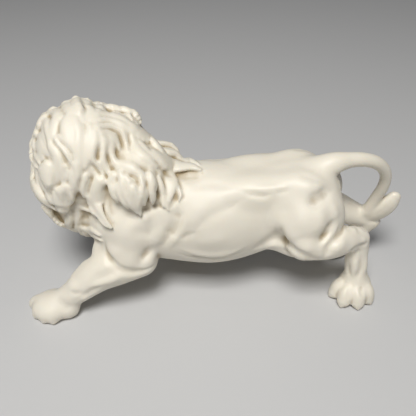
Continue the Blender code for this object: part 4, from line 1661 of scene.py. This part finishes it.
@dataclass(frozen=True)
class IvoryResin:
    """Cast resin: warm ivory, satin, a little light let through, and painted shade that darkens its creases
    and hollows.
    """

    ivory: Row = (0.83, 0.785, 0.69, 1.0)
    cream: Row = (0.80, 0.745, 0.62, 1.0)
    # Colour of the painted shade in creases and hollows
    crease: Row = (0.40, 0.32, 0.20, 1.0)
    roughness: float = 0.46
    duller: float = 0.05
    glossier_on_ridges: float = 0.06
    ridge_span: tuple[float, float] = (0.5, 0.34)
    clouds_scale: float = 40.0
    grain_scale: float = 1500.0
    grain_strength: float = 0.12
    grain_height: float = 0.0002
    specular: float = 0.45
    let_through: float = 0.09
    let_through_depth: float = 0.0022
    let_through_colour: Row = (1.0, 0.7, 0.4)
    name: str = "ivory_resin"

    def casting_grain(self) -> bpy.types.NodeTree:
        """Group: cloudy tone at the scale of centimetres, and a height of fine casting grain.

        Returns:
            The group.
        """
        scales = {"Clouds": self.clouds_scale, "Grain": self.grain_scale}
        tree, given, result = new_group("casting_grain", scales, ("Tone", "Height"))
        place = add_node(tree, "TexCoord").outputs["Object"]
        for scale, detail, output in (("Clouds", 3.0, "Tone"), ("Grain", 2.0, "Height")):
            inputs = {"Vector": place, "Scale": given.outputs[scale], "Detail": detail}
            feed(tree, result, {output: add_node(tree, "TexNoise", inputs).outputs["Fac"]})
        return tree

    def painted_shade_and_ridge(self) -> bpy.types.NodeTree:
        """Group: painted shade by how deep in a crease or hollow the surface lies, from the skin's fullness
        at two reaches, and how much it is a ridge, for the gloss.

        Returns:
            The group.
        """
        tree, _, result = new_group("painted_shade_and_ridge", {}, ("Depth", "Ridge"))
        total = add_node(tree, "Math", operation="ADD", use_clamp=True)
        read = {fullness: add_node(tree, "Attribute", attribute_name=fullness.value).outputs["Fac"]
                for fullness in Fullness}
        for number, fullness in enumerate(Fullness):
            start, whole, most = fullness.span()
            tone = add_node(tree, "MapRange", {"Value": read[fullness], "From Min": start,
                                               "From Max": whole, "To Max": most})
            tree.links.new(tone.outputs["Result"], total.inputs[number])
        start, whole = self.ridge_span
        ridge = add_node(tree, "MapRange", {"Value": read[Fullness.CREASE], "From Min": start,
                                            "From Max": whole})
        feed(tree, result, {"Depth": total.outputs["Value"], "Ridge": ridge.outputs["Result"]})
        return tree

    def material(self) -> bpy.types.Material:
        """The resin as a material.

        Returns:
            The material.
        """
        material = bpy.data.materials.new(self.name)
        material.use_nodes = True
        tree = material.node_tree
        grain = add_node(tree, "Group", node_tree=self.casting_grain()).outputs
        depth = add_node(tree, "Group", node_tree=self.painted_shade_and_ridge()).outputs
        clouded = add_node(tree, "Mix", {"Factor": grain["Tone"], "A": self.ivory, "B": self.cream},
                           data_type="RGBA")
        # Painted shade: the colour is drawn toward the dark crease colour where the skin lies deep in a
        # crease or hollow
        painted_shade = add_node(tree, "Mix", {"Factor": depth["Depth"], "A": clouded.outputs["Result"],
                                       "B": self.crease}, data_type="RGBA")
        gloss = add_node(tree, "MapRange", {"Value": depth["Ridge"], "To Min": self.roughness + self.duller,
                                            "To Max": self.roughness - self.glossier_on_ridges})
        bump = add_node(tree, "Bump", {"Height": grain["Height"], "Strength": self.grain_strength,
                                       "Distance": self.grain_height})
        feed(tree, tree.nodes["Principled BSDF"], {
            "Base Color": painted_shade.outputs["Result"],
            "Roughness": gloss.outputs["Result"],
            "Normal": bump.outputs["Normal"],
            "Subsurface Weight": self.let_through,
            "Subsurface Radius": self.let_through_colour,
            "Subsurface Scale": self.let_through_depth,
            "Specular IOR Level": self.specular,
        })
        return material


@dataclass
class CastLion:
    """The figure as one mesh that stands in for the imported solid."""

    node: str = "lion_figurine"
    name: str = "lion_cast"
    sculpt: LionSculpt = field(default_factory=LionSculpt)
    finish: IvoryResin = field(default_factory=IvoryResin)
    most_triangles: int = 192000
    shift: Array = field(init=False)

    def mesh(self, corners: Array, faces: Array) -> bpy.types.Mesh:
        """A mesh of four-sided faces from whole arrays.

        Args:
            corners: Places of the corners.
            faces: Four corner numbers for each face.

        Returns:
            The mesh.
        """
        mesh = bpy.data.meshes.new(self.name)
        mesh.vertices.add(len(corners))
        mesh.vertices.foreach_set("co", corners.astype(np.float32).ravel())
        mesh.loops.add(faces.size)
        mesh.loops.foreach_set("vertex_index", faces.astype(np.int32).ravel())
        mesh.polygons.add(len(faces))
        mesh.polygons.foreach_set("loop_start", np.arange(0, faces.size, 4, dtype=np.int32))
        mesh.update(calc_edges=True)
        mesh.validate()
        return mesh

    def thinned(self, mesh: bpy.types.Mesh) -> bpy.types.Mesh:
        """The mesh smoothed once and collapsed to the number of triangles that is wanted.

        Args:
            mesh: The full mesh.

        Returns:
            The thinner one.
        """
        form = bpy.data.objects.new("thinning", mesh)
        bpy.context.scene.collection.objects.link(form)
        smooth = form.modifiers.new("smooth", "SMOOTH")
        smooth.factor, smooth.iterations = 0.5, 1
        thin = form.modifiers.new("thin", "DECIMATE")
        thin.ratio = min(1.0, self.most_triangles / (2 * len(mesh.polygons)))
        bpy.context.view_layer.update()
        result = bpy.data.meshes.new_from_object(form.evaluated_get(bpy.context.evaluated_depsgraph_get()))
        bpy.data.objects.remove(form)
        return result

    def placed(self, places: Array) -> Array:
        """Places in metres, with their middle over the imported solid's and their zero at its underside.

        Args:
            places: Places in millimetres in the figure's own frame.

        Returns:
            The places in the part's frame.
        """
        low, high = (np.array(corner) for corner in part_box(self.node))
        middle = (places.min(0) + places.max(0)) / 2
        self.shift = (low + high) / 2 - middle / MM_PER_METRE
        self.shift[2] = low[2]
        return places / MM_PER_METRE + self.shift

    def build(self) -> bpy.types.Object:
        """Models the figure, meshes it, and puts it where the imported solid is.

        Returns:
            The figure's object.
        """
        clay = self.sculpt.model()
        corners, faces = clay.skin()
        logging.info("lion skin: %d corners, %d faces", len(corners), len(faces))
        mesh = self.thinned(self.mesh(corners, faces))
        places = np.empty(3 * len(mesh.vertices), np.float32)
        mesh.vertices.foreach_get("co", places)
        places = places.reshape(-1, 3).astype(float)
        # The skin's fullness at each corner, which the material paints as shade in creases and hollows
        for fullness in Fullness:
            values = clay.reading(clay.crowding(fullness.reach()), places)
            layer = mesh.attributes.new(fullness.value, "FLOAT", "POINT")
            layer.data.foreach_set("value", values.astype(np.float32))
        mesh.vertices.foreach_set("co", self.placed(places).astype(np.float32).ravel())
        mesh.shade_smooth()
        mesh.materials.clear()
        mesh.materials.append(self.finish.material())
        lion = bpy.data.objects.new(self.name, mesh)
        bpy.context.scene.collection.objects.link(lion)
        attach(lion, "root")
        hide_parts(self.node)
        logging.info("%s: %d triangles", lion.name, len(mesh.polygons))
        return lion


@dataclass(frozen=True)
class SoftLight:
    """A square light that faces the figure: its place and side in metres, and its power in watts."""

    name: str
    place: Row
    side: float
    power: float
    colour: Row
    aim: Row = (0, 0, 0.05)

    def hang(self) -> None:
        """Puts the light in the scene."""
        lamp = bpy.data.lights.new(self.name, "AREA")
        lamp.size, lamp.energy, lamp.color = self.side, self.power, self.colour
        light = bpy.data.objects.new(self.name, lamp)
        light.location = self.place
        toward = Vector(self.aim) - Vector(self.place)
        light.rotation_euler = toward.to_track_quat("-Z", "Y").to_euler()
        bpy.context.scene.collection.objects.link(light)


@dataclass
class Studio:
    """A plain pale floor, soft lights and the camera."""

    view: View
    shift: Array
    floor_colour: Row = (0.58, 0.58, 0.58, 1.0)
    floor_roughness: float = 0.9
    floor_reach: float = 6.0
    floor_gap: float = 0.0002
    sensor_width: float = 36.0
    sky_colour: Row = (0.93, 0.95, 1.0, 1.0)
    sky_strength: float = 0.08
    lights: tuple[SoftLight, ...] = (
        SoftLight("key", (-0.08, -0.44, 0.87), 0.32, 8.6, (1.0, 0.99, 0.97)),
        SoftLight("fill", (-0.8, -0.6, 0.3), 0.6, 0.4, (0.95, 0.97, 1.0)),
        SoftLight("back", (0.1, 0.8, 0.6), 0.6, 0.2, (1.0, 1.0, 1.0)),
    )

    def floor(self) -> None:
        """A wide pale floor just under the soles."""
        mesh = bpy.data.meshes.new("floor")
        reach = self.floor_reach
        corners = [(-reach, -reach, 0), (reach, -reach, 0), (reach, reach, 0), (-reach, reach, 0)]
        mesh.from_pydata(corners, [], [(0, 1, 2, 3)])
        material = bpy.data.materials.new("floor")
        material.use_nodes = True
        tree = material.node_tree
        feed(tree, tree.nodes["Principled BSDF"],
             {"Base Color": self.floor_colour, "Roughness": self.floor_roughness})
        mesh.materials.append(material)
        floor = bpy.data.objects.new("floor", mesh)
        floor.location.z = -self.floor_gap
        bpy.context.scene.collection.objects.link(floor)
        floor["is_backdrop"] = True

    def camera(self) -> None:
        """The camera of the photograph: its lens and its sensor in millimetres."""
        lens = bpy.data.cameras.new("camera")
        lens.lens = self.view.focal / (2 * self.view.middle) * self.sensor_width
        lens.sensor_width = self.sensor_width
        lens.clip_start = 0.01
        camera = bpy.data.objects.new("camera", lens)
        camera.location = np.array(self.view.eye) / MM_PER_METRE + self.shift
        camera.rotation_euler = (math.pi / 2 - self.view.pitch, 0, 0)
        bpy.context.scene.collection.objects.link(camera)
        bpy.context.scene.camera = camera

    def sky(self) -> None:
        """An even pale light from all round."""
        world = bpy.data.worlds.new("studio")
        world.use_nodes = True
        tree = world.node_tree
        feed(tree, tree.nodes["Background"], {"Color": self.sky_colour, "Strength": self.sky_strength})
        bpy.context.scene.world = world

    def build(self) -> None:
        """Sets the floor, the lights, the sky and the camera."""
        self.floor()
        for light in self.lights:
            light.hang()
        self.sky()
        self.camera()
        bpy.context.scene.view_settings.view_transform = "Standard"


def main() -> None:
    """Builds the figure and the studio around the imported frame."""
    logging.basicConfig(level=logging.INFO, format="%(message)s")
    for leftover in list(bpy.data.objects):
        bpy.data.objects.remove(leftover)
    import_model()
    solid_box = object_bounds()
    lion = CastLion()
    piece = lion.build()
    Studio(lion.sculpt.view, lion.shift).build()
    boxes = {"solid": solid_box, "visual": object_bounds()}
    {name: [list(corner) for corner in box] for name, box in boxes.items()}
    logging.info("built %s", piece.name)


if __name__ == "__main__":
    main()
